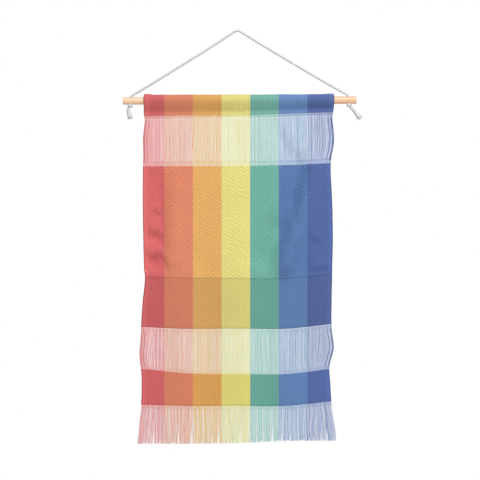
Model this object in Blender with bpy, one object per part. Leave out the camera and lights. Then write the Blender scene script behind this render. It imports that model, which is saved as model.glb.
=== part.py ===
# A textile wall hanging. One striped cloth hangs by its pocket from a wooden rod. It has two bands of
# bare warp threads and a cut fringe. A cord, knotted under both ends of the rod, hangs it from a nail.
# +Z is up, the front faces -Y, and the origin is the top of the nail, inside the cord's apex.
# Shapes are worked out in millimetres and are turned into metres as each mesh is made.
# A drop is a height measured downwards from the origin.

import math
import random
from collections import namedtuple

import bmesh
import bpy
from mathutils import Matrix, Vector

MM = 0.001

# Rod: a half-inch dowel, its right end a little higher than its left
ROD_LENGTH = 397.0
ROD_RADIUS = 6.35
ROD_MIDDLE_X = 2.8
ROD_DROP = 116.5
ROD_RISE = 1.45
ROD_CHAMFER = 0.6
ROD_SIDES = 32
HOLE_INSET = 13.2
HOLE_RADIUS = 3.4
HOLE_SIDES = 20

# Cord: its route goes from the left knot up the left hole, over the nail and down the right hole
CORD_DIAMETER = 4.5
CORD_STEP = 2.4 * CORD_DIAMETER
CORD_BEND_STEP = 0.8 * CORD_DIAMETER
STRAIGHT_ANGLE = math.radians(3)
CORD_ROUTE = (
    (-183.3, -123.2),
    (-183.3, -119.2),
    (-183.3, -115.1),
    (-182.98, -112.6),
    (-182.05, -110.25),
    (-180.54, -108.2),
    (-178.58, -106.6),
    (-172.0, -102.5),
    (-150.0, -88.8),
    (-110.0, -63.9),
    (-70.0, -39.0),
    (-35.0, -17.2),
    (-16.0, -5.35),
    (-10.0, -1.61),
    (-6.45, 0.59),
    (-3.67, 1.82),
    (-0.64, 2.25),
    (2.26, 1.86),
    (4.93, 0.72),
    (9.5, -1.98),
    (16.0, -5.83),
    (35.0, -17.1),
    (70.0, -37.8),
    (110.0, -61.5),
    (150.0, -85.2),
    (177.0, -101.16),
    (183.99, -105.29),
    (186.02, -106.88),
    (187.59, -108.95),
    (188.57, -111.34),
    (188.9, -113.9),
    (188.9, -118.2),
    (188.9, -121.9),
)
PIECE_GAP = 0.3

# Knots: a ring of cord, one strand across its front, and the free tail that leaves below
KNOT_RING_RADIUS = 3.0
KNOT_CORD_RADIUS = 2.2
KNOT_RING_STEPS = 14
KNOT_SIDES = 10
KNOT_TILT = math.radians(18)
KNOT_DEPTH = 3.8
Strand = namedtuple("Strand", "side y z radius")
KNOT_STRAND = (
    Strand(2.7, -1.2, 0.4, 1.8),
    Strand(0.0, -3.8, -0.9, 2.0),
    Strand(-2.7, -1.2, -3.4, 1.8),
)
Tail = namedtuple("Tail", "x drop radius")
LEFT_TAIL = (
    Tail(-184.6, 127.6, 2.3),
    Tail(-186.5, 130.6, 2.5),
    Tail(-186.2, 135.0, 2.7),
    Tail(-184.9, 139.6, 3.1),
    Tail(-183.6, 144.0, 3.6),
    Tail(-183.1, 146.6, 2.9),
)
RIGHT_TAIL = (
    Tail(189.3, 126.0, 2.3),
    Tail(193.2, 129.2, 2.5),
    Tail(197.6, 133.8, 2.7),
    Tail(201.8, 139.0, 3.1),
    Tail(205.9, 144.1, 3.8),
    Tail(207.6, 146.3, 3.0),
)

# Cloth: the two side edges, a row for each place where an edge turns
Edge = namedtuple("Edge", "drop left right")
EDGES = (
    Edge(104, -160.3, 163.2),
    Edge(128, -160.3, 162.9),
    Edge(140, -160.1, 160.9),
    Edge(151, -158.8, 160.8),
    Edge(175, -161.7, 163.3),
    Edge(195, -161.7, 162.4),
    Edge(212, -161.5, 158.8),
    Edge(233, -161.8, 157.4),
    Edge(290, -162.0, 160.1),
    Edge(350, -161.2, 161.2),
    Edge(401, -159.9, 160.1),
    Edge(420, -158.3, 159.8),
    Edge(457, -162.0, 159.1),
    Edge(494, -164.5, 158.8),
    Edge(512, -165.2, 160.3),
    Edge(534, -167.1, 163.2),
    Edge(546, -168.0, 161.3),
    Edge(564, -166.6, 156.3),
    Edge(575, -164.8, 155.1),
    Edge(588, -163.7, 156.2),
    Edge(634, -164.9, 159.3),
    Edge(661, -168.6, 163.0),
    Edge(687, -170.3, 166.8),
    Edge(702, -172.4, 166.6),
)

# Lines across the cloth: their drop at five places from left to right
LINE_PLACES = (-160.0, -80.0, 0.0, 80.0, 160.0)
Line = namedtuple("Line", "far_left left middle right far_right")
SEAM = Line(142.0, 141.0, 140.8, 137.3, 135.3)
BAND_ONE_END = Line(227.5, 227.8, 227.8, 226.2, 223.0)
WEAVE_CHANGE = Line(414.6, 415.7, 416.3, 417.2, 410.6)
BAND_TWO_TOP = Line(501.6, 504.6, 504.0, 504.4, 496.0)
BAND_TWO_END = Line(572.6, 580.6, 581.3, 581.6, 572.2)
CLOTH_END = Line(633.0, 635.2, 634.8, 635.0, 627.0)
FRINGE_END = Line(700.6, 700.4, 699.4, 695.8, 695.4)

# Weaves: each part of the cloth between two of those lines
WOVEN = 1.4
OPEN = 1.0
Weave = namedtuple("Weave", "top bottom rows thickness")
WEAVES = (
    Weave(SEAM, BAND_ONE_END, 6, OPEN),
    Weave(BAND_ONE_END, WEAVE_CHANGE, 11, WOVEN),
    Weave(WEAVE_CHANGE, BAND_TWO_TOP, 5, WOVEN),
    Weave(BAND_TWO_TOP, BAND_TWO_END, 6, OPEN),
    Weave(BAND_TWO_END, CLOTH_END, 4, WOVEN),
)
STEP_HEIGHT = 0.9

# Pocket: how the cloth goes round the rod and is sewn to its own back
POCKET_SIDE_GAP = 0.6
POCKET_TOP = 10.3
POCKET_CORNER_DROP = 2.2
POCKET_STRAIGHT_ROWS = 3
POCKET_ROUND_ROWS = 14
SEAM_HEIGHT = 3.0

# Hems: the folded side edges
HEM_WIDTH = 10.0
HEM_STEP = 0.8
HEM_ROUND = 1.2
HEM_BACK = 0.8
HEM_FRONT = 0.2
HEM_POCKET = 1.1
EDGE_SHARE = 0.5

# Folds: soft upright troughs (depth above 0) and ridges (below 0) in the hanging cloth
Fold = namedtuple("Fold", "x lean top bottom width depth")
FOLDS = (
    Fold(103.0, 0.02, 190.0, 400.0, 17.0, 2.2),
    Fold(133.0, -0.01, 230.0, 700.0, 15.0, -1.6),
    Fold(-136.0, 0.01, 210.0, 470.0, 15.0, 1.9),
    Fold(-108.0, 0.02, 240.0, 640.0, 18.0, -1.5),
    Fold(-52.0, -0.02, 260.0, 720.0, 24.0, 1.7),
    Fold(4.0, 0.01, 300.0, 740.0, 22.0, -1.8),
    Fold(52.0, 0.02, 420.0, 760.0, 20.0, 1.8),
    Fold(-158.0, 0.0, 480.0, 620.0, 16.0, -3.0),
    Fold(158.0, 0.0, 500.0, 590.0, 14.0, -2.6),
    Fold(158.0, 0.0, 140.0, 230.0, 14.0, -2.2),
)
FOLD_FADE = 45.0

# Fringe: locks on a narrow strip, and the places where they part
FRINGE_LOCKS = 96
FRINGE_STRIP = 5.0
FRINGE_THICKNESS = 1.2
LOCK_LEVELS = (0.34, 0.68, 1.0)
LOCK_FILL = 0.7
LOCK_SPREAD = 0.08
LOCK_GAP = 0.35
LOCK_RAGGED = 2.2
LOCK_SWAY_ACROSS = 0.45
LOCK_SWAY_BACK = 0.9
FLARE_REACH = 14.0
PART_REACH = 8.0
Part = namedtuple("Part", "x width rise")
PARTS = (
    Part(-138.0, 2.4, 26.0),
    Part(-124.4, 1.6, 56.0),
    Part(-99.0, 2.2, 48.0),
    Part(-77.6, 3.6, 32.0),
    Part(-34.0, 2.4, 48.0),
    Part(4.3, 2.2, 34.0),
    Part(31.5, 2.0, 56.0),
    Part(60.0, 2.6, 48.0),
    Part(85.6, 1.8, 38.0),
    Part(97.0, 1.6, 36.0),
    Part(114.6, 1.8, 36.0),
    Part(146.0, 1.8, 30.0),
)
SEED = 7

# Stripes: the boundaries between them, and each stripe's colour
STRIPE_EDGES = (-125.5, -76.8, -28.6, 20.4, 68.3, 117.3)
COLUMNS_PER_STRIPE = 4
OUTER_COLUMNS = (-138.0, 131.0)
Stripe = namedtuple("Stripe", "name colour")
STRIPES = (
    Stripe("red", (0.64, 0.14, 0.14)),
    Stripe("coral", (0.72, 0.25, 0.14)),
    Stripe("orange", (0.77, 0.42, 0.12)),
    Stripe("yellow", (0.78, 0.70, 0.24)),
    Stripe("green", (0.15, 0.42, 0.34)),
    Stripe("blue", (0.10, 0.20, 0.42)),
    Stripe("navy", (0.08, 0.13, 0.35)),
)
CLOTH_ROUGHNESS = 0.92
WOOD_COLOUR = (0.83, 0.55, 0.33)
WOOD_ROUGHNESS = 0.45
CORD_COLOUR = (0.86, 0.85, 0.82)
CORD_ROUGHNESS = 0.9


def clear_scene():
    for item in list(bpy.data.objects):
        bpy.data.objects.remove(item, do_unlink=True)


def make_material(name, colour, roughness):
    material = bpy.data.materials.new(name)
    material.use_nodes = True
    shader = material.node_tree.nodes["Principled BSDF"]
    shader.inputs["Base Color"].default_value = (*colour, 1.0)
    shader.inputs["Roughness"].default_value = roughness
    shader.inputs["Metallic"].default_value = 0.0
    return material


def stripe_materials():
    return [make_material("stripe_" + s.name, s.colour, CLOTH_ROUGHNESS) for s in STRIPES]


def add_mesh_object(name, points, faces, materials):
    """Make an object of points in millimetres, with its faces turned outwards."""
    mesh = bpy.data.meshes.new(name)
    mesh.from_pydata([Vector(p) * MM for p in points], [], faces)
    work = bmesh.new()
    work.from_mesh(mesh)
    bmesh.ops.recalc_face_normals(work, faces=work.faces)
    work.to_mesh(mesh)
    work.free()
    for material in materials:
        mesh.materials.append(material)
    made = bpy.data.objects.new(name, mesh)
    bpy.context.scene.collection.objects.link(made)
    return made


def smooth_shading(made, angle):
    made.data.shade_smooth()
    made.data.set_sharp_from_angle(angle=math.radians(angle))


def ramp(value):
    """Go softly from 0 to 1 as the value goes from 0 to 1."""
    held = min(max(value, 0.0), 1.0)
    return held * held * (3.0 - 2.0 * held)


def curve_through(places, values, at):
    """Read a smooth curve that passes through the values at the places."""
    last = len(places) - 1
    if at <= places[0]:
        return values[0]
    if at >= places[last]:
        return values[last]
    i = max(k for k in range(last) if places[k] <= at)

    def slope(k):
        low = max(k - 1, 0)
        high = min(k + 1, last)
        return (values[high] - values[low]) / (places[high] - places[low])

    span = places[i + 1] - places[i]
    t = (at - places[i]) / span
    start = (2 * t ** 3 - 3 * t ** 2 + 1) * values[i] + (t ** 3 - 2 * t ** 2 + t) * span * slope(i)
    end = (3 * t ** 2 - 2 * t ** 3) * values[i + 1] + (t ** 3 - t ** 2) * span * slope(i + 1)
    return start + end


EDGE_DROPS = [edge.drop for edge in EDGES]
EDGE_LEFTS = [edge.left for edge in EDGES]
EDGE_RIGHTS = [edge.right for edge in EDGES]


def left_edge(drop):
    return curve_through(EDGE_DROPS, EDGE_LEFTS, drop)


def right_edge(drop):
    return curve_through(EDGE_DROPS, EDGE_RIGHTS, drop)


def line_drop(line, x):
    return curve_through(LINE_PLACES, line, x)


def axis_drop(x):
    """Drop of the rod's axis."""
    return ROD_DROP - ROD_RISE * (x - ROD_MIDDLE_X) / ROD_LENGTH


def hang(x, drop):
    """How far back the hanging cloth's middle lies at a place, from its folds."""
    depth = 0.0
    for fold in FOLDS:
        across = (x - fold.x - fold.lean * (drop - fold.top)) / fold.width
        along = ramp((drop - fold.top) / FOLD_FADE) * ramp((fold.bottom - drop) / FOLD_FADE)
        depth += fold.depth * along * math.exp(-across * across)
    return depth


def stripe_at(x):
    return sum(1 for edge in STRIPE_EDGES if x > edge)


# Columns of the cloth: each has a place across it, kept from an edge or at a fixed x
Column = namedtuple("Column", "anchor place hem edge")


def cloth_columns():
    inner = HEM_WIDTH - HEM_STEP
    outer = HEM_WIDTH + HEM_STEP
    shape = ((0.0, 0.0, 1.0), (HEM_ROUND, 1.0, 0.4), (inner, 1.0, 0.0), (outer, 0.0, 0.0))
    columns = [Column("left", *row) for row in shape]
    columns.append(Column("fixed", OUTER_COLUMNS[0], 0.0, 0.0))
    for start, end in zip(STRIPE_EDGES, STRIPE_EDGES[1:]):
        for k in range(COLUMNS_PER_STRIPE):
            place = start + (end - start) * k / COLUMNS_PER_STRIPE
            columns.append(Column("fixed", place, 0.0, 0.0))
    columns.append(Column("fixed", STRIPE_EDGES[-1], 0.0, 0.0))
    columns.append(Column("fixed", OUTER_COLUMNS[1], 0.0, 0.0))
    columns.extend(Column("right", *row) for row in reversed(shape))
    return columns


def column_x(column, drop):
    if column.anchor == "left":
        return left_edge(drop) + column.place
    if column.anchor == "right":
        return right_edge(drop) - column.place
    return column.place


def edge_share(column):
    """A folded edge is rounded, so the outermost column is thinner."""
    return EDGE_SHARE if column.edge == 1.0 else 1.0


def sheet_rows():
    """Rows down the cloth below its seam: the weave that each is in and its share of the way down it."""
    return [(weave, k / weave.rows) for weave in WEAVES for k in range(weave.rows + 1)]


def row_drop(weave, share, x):
    """Drop of a row. Where two weaves meet, their end rows stand a little apart, as a step."""
    top = line_drop(weave.top, x) + STEP_HEIGHT / 2
    bottom = line_drop(weave.bottom, x)
    if weave.bottom is not CLOTH_END:
        bottom -= STEP_HEIGHT / 2
    return top + (bottom - top) * share


def settle(column, drop_at):
    """The x of a column and the drop of a row there, as each depends a little on the other."""
    x = column_x(column, drop_at(ROD_MIDDLE_X))
    for _ in range(3):
        x = column_x(column, drop_at(x))
    return x, drop_at(x)


def sheet_points(column):
    """Front and back points of one column, from the seam down."""
    x, drop = settle(column, lambda at: line_drop(SEAM, at))
    front = [(x, -WOVEN, -drop)]
    back = [(x, 0.0, -drop)]
    for weave, share in sheet_rows():
        x, drop = settle(column, lambda at: row_drop(weave, share, at))
        half = weave.thickness / 2 * edge_share(column)
        middle = hang(x, drop) - WOVEN / 2
        hem = column.hem * edge_share(column)
        front.append((x, middle - half - HEM_FRONT * hem, -drop))
        back.append((x, middle + half + HEM_BACK * hem, -drop))
    return front, back


def pocket_path(column, x):
    """The middle of the cloth round the rod, from the seam's front to its back, as (y, z, ny, nz)."""
    half = WOVEN / 2
    depth = line_drop(SEAM, x) - SEAM_HEIGHT - axis_drop(x)
    side = ROD_RADIUS + POCKET_SIDE_GAP + half
    top = POCKET_TOP - half - POCKET_CORNER_DROP * column.edge
    touch = math.acos(side / depth)
    points = []
    for k in range(POCKET_STRAIGHT_ROWS):
        share = k / POCKET_STRAIGHT_ROWS
        y = -half + (half - side * math.sin(touch)) * share
        z = -depth + (depth - side * math.cos(touch)) * share
        points.append((y, z))
    for k in range(POCKET_ROUND_ROWS + 1):
        angle = touch + 2 * (math.pi - touch) * k / POCKET_ROUND_ROWS
        radius = side + (top - side) * max(0.0, -math.cos(angle))
        points.append((-radius * math.sin(angle), -radius * math.cos(angle)))
    for y, z in reversed(points[:POCKET_STRAIGHT_ROWS]):
        points.append((-y, z))
    path = [(points[0][0], points[0][1], -1.0, 0.0)]
    for before, here, after in zip(points, points[1:], points[2:]):
        along = Vector((after[0] - before[0], after[1] - before[1])).normalized()
        path.append((here[0], here[1], -along.y, along.x))
    path.append((points[-1][0], points[-1][1], 1.0, 0.0))
    return path


def pocket_points(column):
    """Outer and inner points of one column of the pocket. The two inner ends are one point."""
    x = column_x(column, ROD_DROP)
    outer = []
    inner = []
    path = pocket_path(column, x)
    for k, (y, z, ny, nz) in enumerate(path):
        at_seam = k in (0, len(path) - 1)
        share = 1.0 if at_seam else edge_share(column)
        hem = 0.0 if at_seam else HEM_POCKET * column.hem * share
        into = WOVEN / 2 * share
        out = into + hem
        drop = axis_drop(x) - z
        at = column_x(column, drop)
        outer.append((at, y + ny * out, nz * out - drop))
        inner.append((at, y - ny * into, -nz * into - drop))
    return outer, inner[:-1]


class Grid:
    """Points kept once each, and the faces between them."""

    def __init__(self):
        self.points = []
        self.faces = []

    def add(self, points):
        start = len(self.points)
        self.points.extend(points)
        return list(range(start, start + len(points)))

    def strip(self, one, two, loop=False):
        """Fill between two columns of the same number of points."""
        count = len(one)
        for k in range(count if loop else count - 1):
            after = (k + 1) % count
            self.faces.append((one[k], one[after], two[after], two[k]))


def make_cloth(materials):
    """One sheet: its shell runs up the front, over the rod and down to the back, round the tunnel."""
    grid = Grid()
    sheets = []
    for column in cloth_columns():
        front, back = sheet_points(column)
        outer, inner = pocket_points(column)
        seam_x, _, seam_z = front[0]
        flap_end = (seam_x, WOVEN, seam_z)
        shell = grid.add(list(reversed(front)) + outer + [flap_end] + back)
        tunnel = grid.add(inner)
        sheets.append((shell, tunnel, len(front), len(outer)))
    for (shell, tunnel, _, _), (next_shell, next_tunnel, _, _) in zip(sheets, sheets[1:]):
        grid.strip(shell, next_shell, loop=True)
        grid.strip(tunnel, next_tunnel, loop=True)
    for shell, tunnel, sheet, pocket in (sheets[0], sheets[-1]):
        front = shell[:sheet][::-1]
        outer = shell[sheet:sheet + pocket]
        flap_end = shell[sheet + pocket]
        back = shell[sheet + pocket + 1:]
        grid.strip(front, back)
        grid.strip(outer, tunnel + tunnel[:1])
        grid.faces.append((front[0], outer[0], tunnel[0], back[0]))
        grid.faces.append((back[0], tunnel[0], outer[-1], flap_end))
    cloth = add_mesh_object("cloth", grid.points, grid.faces, materials)
    colour_stripes(cloth)
    smooth_shading(cloth, 40)
    return cloth


def colour_stripes(made):
    for face in made.data.polygons:
        face.material_index = stripe_at(face.center.x / MM)


# Fringe
Lock = namedtuple("Lock", "root width length sway")


def fringe_locks():
    chance = random.Random(SEED)
    start = left_edge(CLOTH_END.far_left)
    pitch = (right_edge(CLOTH_END.far_right) - start) / FRINGE_LOCKS
    locks = []
    for k in range(FRINGE_LOCKS):
        root = start + (k + 0.5) * pitch
        width = pitch * (LOCK_FILL + chance.uniform(-LOCK_SPREAD, LOCK_SPREAD))
        end = line_drop(FRINGE_END, root) - chance.uniform(0.0, LOCK_RAGGED)
        top = line_drop(CLOTH_END, root) + PIECE_GAP + FRINGE_STRIP
        sway = (chance.uniform(-1, 1) * LOCK_SWAY_ACROSS, chance.uniform(-1, 1) * LOCK_SWAY_BACK)
        locks.append(Lock(root, width, end - top, sway))
    return locks


def lock_centre(lock, share):
    """Where a lock's middle is at a share of its length, with the flare and the parts of the fringe."""
    start = line_drop(CLOTH_END, lock.root) + PIECE_GAP + FRINGE_STRIP
    drop = start + lock.length * share
    first = CLOTH_END.middle
    x = lock.root
    left = left_edge(first)
    right = right_edge(first)
    x += (left_edge(drop) - left) * math.exp(-(lock.root - left) / FLARE_REACH)
    x += (right_edge(drop) - right) * math.exp(-(right - lock.root) / FLARE_REACH)
    for part in PARTS:
        side = math.copysign(1.0, lock.root - part.x)
        opened = ramp(1.0 - (FRINGE_END.middle - drop) / part.rise)
        x += side * part.width / 2 * opened * math.exp(-abs(lock.root - part.x) / PART_REACH)
    x += lock.sway[0] * share
    return x, hang(lock.root, drop) - WOVEN / 2 + lock.sway[1] * share, drop


def make_fringe(materials):
    locks = fringe_locks()
    grid = Grid()
    half = FRINGE_THICKNESS / 2
    stops = [left_edge(CLOTH_END.far_left)]
    for lock in locks:
        stops += [lock.root - lock.width / 2, lock.root + lock.width / 2]
    stops.append(right_edge(CLOTH_END.far_right))
    rings = []
    for x in stops:
        top = line_drop(CLOTH_END, x) + PIECE_GAP
        bottom = top + FRINGE_STRIP
        high = hang(x, top) - WOVEN / 2
        low = hang(x, bottom) - WOVEN / 2
        corners = ((x, high - half, -top), (x, high + half, -top))
        corners += ((x, low + half, -bottom), (x, low - half, -bottom))
        rings.append(grid.add(corners))
    for k, (ring, after) in enumerate(zip(rings, rings[1:])):
        for side in (0, 1, 3):
            turn = (side + 1) % 4
            grid.faces.append((ring[side], ring[turn], after[turn], after[side]))
        if k % 2 == 0:
            grid.faces.append((ring[2], ring[3], after[3], after[2]))
    grid.faces.append(tuple(rings[0]))
    grid.faces.append(tuple(rings[-1]))
    before = [(ring[3], ring[2], after[2], after[3]) for ring, after in zip(rings[1::2], rings[2::2])]
    for share in LOCK_LEVELS:
        centres = [lock_centre(lock, share) for lock in locks]
        for k, lock in enumerate(locks):
            x, y, drop = centres[k]
            rooms = [abs(centres[n][0] - x) for n in (k - 1, k + 1) if 0 <= n < len(locks)]
            wide = min(lock.width, min(rooms) - LOCK_GAP) / 2
            square = ((x - wide, y - half, -drop), (x - wide, y + half, -drop))
            square += ((x + wide, y + half, -drop), (x + wide, y - half, -drop))
            ring = grid.add(square)
            grid.strip(before[k], ring, loop=True)
            before[k] = tuple(ring)
    grid.faces.extend(before)
    fringe = add_mesh_object("fringe", grid.points, grid.faces, materials)
    colour_stripes(fringe)
    return fringe


# Rod
def make_rod():
    turn = Matrix.Rotation(-math.atan2(ROD_RISE, ROD_LENGTH), 4, "Y")
    lie = Matrix.Rotation(math.pi / 2, 4, "Y")
    bpy.ops.mesh.primitive_cylinder_add(
        vertices=ROD_SIDES, radius=ROD_RADIUS * MM, depth=ROD_LENGTH * MM, end_fill_type="NGON")
    rod = bpy.context.object
    rod.name = "rod"
    rod.data.transform(lie)
    rod.matrix_world = Matrix.Translation((ROD_MIDDLE_X * MM, 0.0, -ROD_DROP * MM)) @ turn
    bevel = rod.modifiers.new("chamfer", "BEVEL")
    bevel.width = ROD_CHAMFER * MM
    bevel.segments = 2
    bevel.limit_method = "ANGLE"
    bevel.angle_limit = math.radians(60)
    for side in (-1, 1):
        cut_hole(rod, ROD_MIDDLE_X + side * (ROD_LENGTH / 2 - HOLE_INSET))
    rod.data.materials.append(make_material("pale_wood", WOOD_COLOUR, WOOD_ROUGHNESS))
    smooth_shading(rod, 40)
    return rod


def cut_hole(rod, x):
    place = (x * MM, 0.0, -axis_drop(x) * MM)
    bpy.ops.mesh.primitive_cylinder_add(
        vertices=HOLE_SIDES, radius=HOLE_RADIUS * MM, depth=ROD_RADIUS * 4 * MM, location=place)
    drill = bpy.context.object
    drill.name = "drill"
    drill.hide_render = True
    drill.display_type = "WIRE"
    cut = rod.modifiers.new("cord hole", "BOOLEAN")
    cut.operation = "DIFFERENCE"
    cut.solver = "EXACT"
    cut.object = drill


# Cord
def bend_at(route, k):
    """The angle that the route turns by at one of its points."""
    if k in (0, len(route) - 1):
        return 0.0
    return (route[k] - route[k - 1]).angle(route[k + 1] - route[k])


def smooth_route():
    """Points along a smooth curve through the route, closer together where it bends."""
    route = [Vector((x, 0.0, z)) for x, z in CORD_ROUTE]
    places = [0.0]
    for one, two in zip(route, route[1:]):
        places.append(places[-1] + (two - one).length)
    xs = [point.x for point in route]
    zs = [point.z for point in route]
    points = []
    for k, (start, end) in enumerate(zip(places, places[1:])):
        bent = max(bend_at(route, k), bend_at(route, k + 1)) > STRAIGHT_ANGLE
        step = CORD_BEND_STEP if bent else CORD_STEP
        count = max(1, math.ceil((end - start) / step))
        for n in range(count):
            at = start + (end - start) * n / count
            points.append(Vector((curve_through(places, xs, at), 0.0, curve_through(places, zs, at))))
    points.append(route[-1])
    return points


def make_cord(material):
    curve = bpy.data.curves.new("hanger_cord", "CURVE")
    curve.dimensions = "3D"
    curve.bevel_depth = CORD_DIAMETER / 2 * MM
    curve.bevel_resolution = 2
    curve.use_fill_caps = True
    points = smooth_route()
    spline = curve.splines.new("POLY")
    spline.points.add(len(points) - 1)
    for knot, point in zip(spline.points, points):
        knot.co = (*(point * MM), 1.0)
    curve.materials.append(material)
    cord = bpy.data.objects.new("hanger_cord", curve)
    bpy.context.scene.collection.objects.link(cord)
    return cord


# Knots
def tube(name, centres, radii, sides, loop=False):
    """A round tube along centres, with a radius at each."""
    grid = Grid()
    rings = []
    count = len(centres)
    for k, (centre, radius) in enumerate(zip(centres, radii)):
        before = centres[(k - 1) % count if loop else max(k - 1, 0)]
        after = centres[(k + 1) % count if loop else min(k + 1, count - 1)]
        along = (after - before).normalized()
        side = along.cross(Vector((0.0, 1.0, 0.0)))
        if side.length < 0.3:
            side = along.cross(Vector((0.0, 0.0, 1.0)))
        side.normalize()
        up = along.cross(side)
        ring = []
        for n in range(sides):
            angle = 2 * math.pi * n / sides
            ring.append(centre + radius * (math.cos(angle) * side + math.sin(angle) * up))
        rings.append(grid.add(ring))
    pairs = list(zip(rings, rings[1:]))
    if loop:
        pairs.append((rings[-1], rings[0]))
    for one, two in pairs:
        grid.strip(one, two, loop=True)
    if not loop:
        grid.faces.append(tuple(rings[0]))
        grid.faces.append(tuple(rings[-1]))
    return add_mesh_object(name, grid.points, grid.faces, [])


def ring_centres(middle, side):
    """Centres round the knot's ring, which leans down at its front and to one side."""
    turn = Matrix.Rotation(KNOT_TILT, 3, "X") @ Matrix.Rotation(KNOT_TILT * side, 3, "Y")
    centres = []
    for n in range(KNOT_RING_STEPS):
        angle = 2 * math.pi * n / KNOT_RING_STEPS
        around = Vector((math.cos(angle), math.sin(angle), 0.0)) * KNOT_RING_RADIUS
        centres.append(middle + turn @ around)
    return centres


def make_knot(name, tail, cord_end, side, material):
    """A stopper knot under the rod: ring, neck up to the cord, strand across the front, and tail."""
    x, z = cord_end
    middle = Vector((x, 0.0, -axis_drop(x) - ROD_RADIUS - KNOT_DEPTH))
    ring = ring_centres(middle, side)
    knot = tube(name, ring, [KNOT_CORD_RADIUS] * len(ring), KNOT_SIDES, loop=True)
    neck = (Vector((x, 0.0, z - PIECE_GAP)), middle - Vector((0.0, 0.0, KNOT_CORD_RADIUS)))
    strand = [middle + Vector((row.side * side, row.y, row.z)) for row in KNOT_STRAND]
    end = [Vector((row.x, 0.0, -row.drop)) for row in tail]
    pieces = (
        tube(name + "_neck", neck, [CORD_DIAMETER / 2] * 2, KNOT_SIDES),
        tube(name + "_strand", strand, [row.radius for row in KNOT_STRAND], KNOT_SIDES),
        tube(name + "_tail", end, [row.radius for row in tail], KNOT_SIDES),
    )
    for piece in pieces:
        piece.hide_render = True
        piece.display_type = "WIRE"
        join = knot.modifiers.new("join", "BOOLEAN")
        join.operation = "UNION"
        join.solver = "EXACT"
        join.object = piece
    knot.data.materials.append(material)
    return knot


def main():
    clear_scene()
    stripes = stripe_materials()
    cord_material = make_material("white_cord", CORD_COLOUR, CORD_ROUGHNESS)
    make_rod()
    make_cloth(stripes)
    make_fringe(stripes)
    make_cord(cord_material)
    make_knot("knot_left", LEFT_TAIL, CORD_ROUTE[0], -1, cord_material)
    make_knot("knot_right", RIGHT_TAIL, CORD_ROUTE[-1], 1, cord_material)


main()
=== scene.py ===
# Looks of the striped wall hanging: woven cloth, bare warp bands, fringe, wooden rod and knotted cord.
# Shapes are worked out in millimetres, in the part's own frame, and turned into metres as meshes are made.
# A drop is a height measured downwards from the nail, and the front faces -Y.

import math
from collections import namedtuple

import bmesh
import bpy
import numpy as np
from mathutils import Matrix, Vector


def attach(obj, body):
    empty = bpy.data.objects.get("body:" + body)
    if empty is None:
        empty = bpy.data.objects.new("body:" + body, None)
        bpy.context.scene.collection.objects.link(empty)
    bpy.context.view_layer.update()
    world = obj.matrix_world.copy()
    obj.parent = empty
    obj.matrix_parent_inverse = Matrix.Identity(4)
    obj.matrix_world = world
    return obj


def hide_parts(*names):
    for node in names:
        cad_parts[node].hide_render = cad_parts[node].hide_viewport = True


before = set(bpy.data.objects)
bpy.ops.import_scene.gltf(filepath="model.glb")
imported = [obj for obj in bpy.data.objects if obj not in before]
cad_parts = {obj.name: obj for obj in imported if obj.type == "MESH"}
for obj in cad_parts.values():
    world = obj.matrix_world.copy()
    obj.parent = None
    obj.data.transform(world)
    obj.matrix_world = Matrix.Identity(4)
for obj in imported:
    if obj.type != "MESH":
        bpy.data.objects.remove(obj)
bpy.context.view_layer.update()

MM = 0.001
NOISE_CELLS = 64

# Camera: one pixel of the 480 px wide photo is 1.7 mm in the plane of the cloth
PIXEL = 1.7
PHOTO_SIDE = 480
NAIL_PIXEL = (238.05, 32.0)
CAMERA_DISTANCE = 3600.0
SENSOR = 36.0

# Rod, as in the part
ROD_LENGTH = 397.0
ROD_RADIUS = 6.35
ROD_MIDDLE_X = 2.8
ROD_DROP = 116.5
ROD_RISE = 1.45
ROD_CHAMFER = 0.6
ROD_SIDES = 72
ROD_STEPS = 90
ROD_UNEVEN = 0.05
HOLE_INSET = 13.2
HOLE_RADIUS = 3.4
HOLE_SIDES = 40

# Cord: the part's route as (x, z), from the left knot over the nail to the right knot
CORD_DIAMETER = 4.5
CORD_ROUTE = (
    (-183.3, -123.2), (-183.3, -119.2), (-183.3, -115.1), (-182.98, -112.6), (-182.05, -110.25),
    (-180.54, -108.2), (-178.58, -106.6), (-172, -102.5), (-150, -88.8), (-110, -63.9), (-70, -39),
    (-35, -17.2), (-16, -5.35), (-10, -1.61), (-6.45, 0.59), (-3.67, 1.82), (-0.64, 2.25), (2.26, 1.86),
    (4.93, 0.72), (9.5, -1.98), (16, -5.83), (35, -17.1), (70, -37.8), (110, -61.5), (150, -85.2),
    (177, -101.16), (183.99, -105.29), (186.02, -106.88), (187.59, -108.95), (188.57, -111.34),
    (188.9, -113.9), (188.9, -118.2), (188.9, -121.9),
)
CORD_STEP = 1.3
CORD_SAG = 1.5
CORD_PITCH = 15.0
STRAND_OFFSET = 0.37
STRAND_RADIUS = 0.65
STRAND_ROUND = 1.6
STRAND_SIDES = 9

# The side of the rope that stays light: the other side is shaded
ROPE_LIT_SIDE = np.array((-0.35, 0.0, 0.93))

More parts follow.
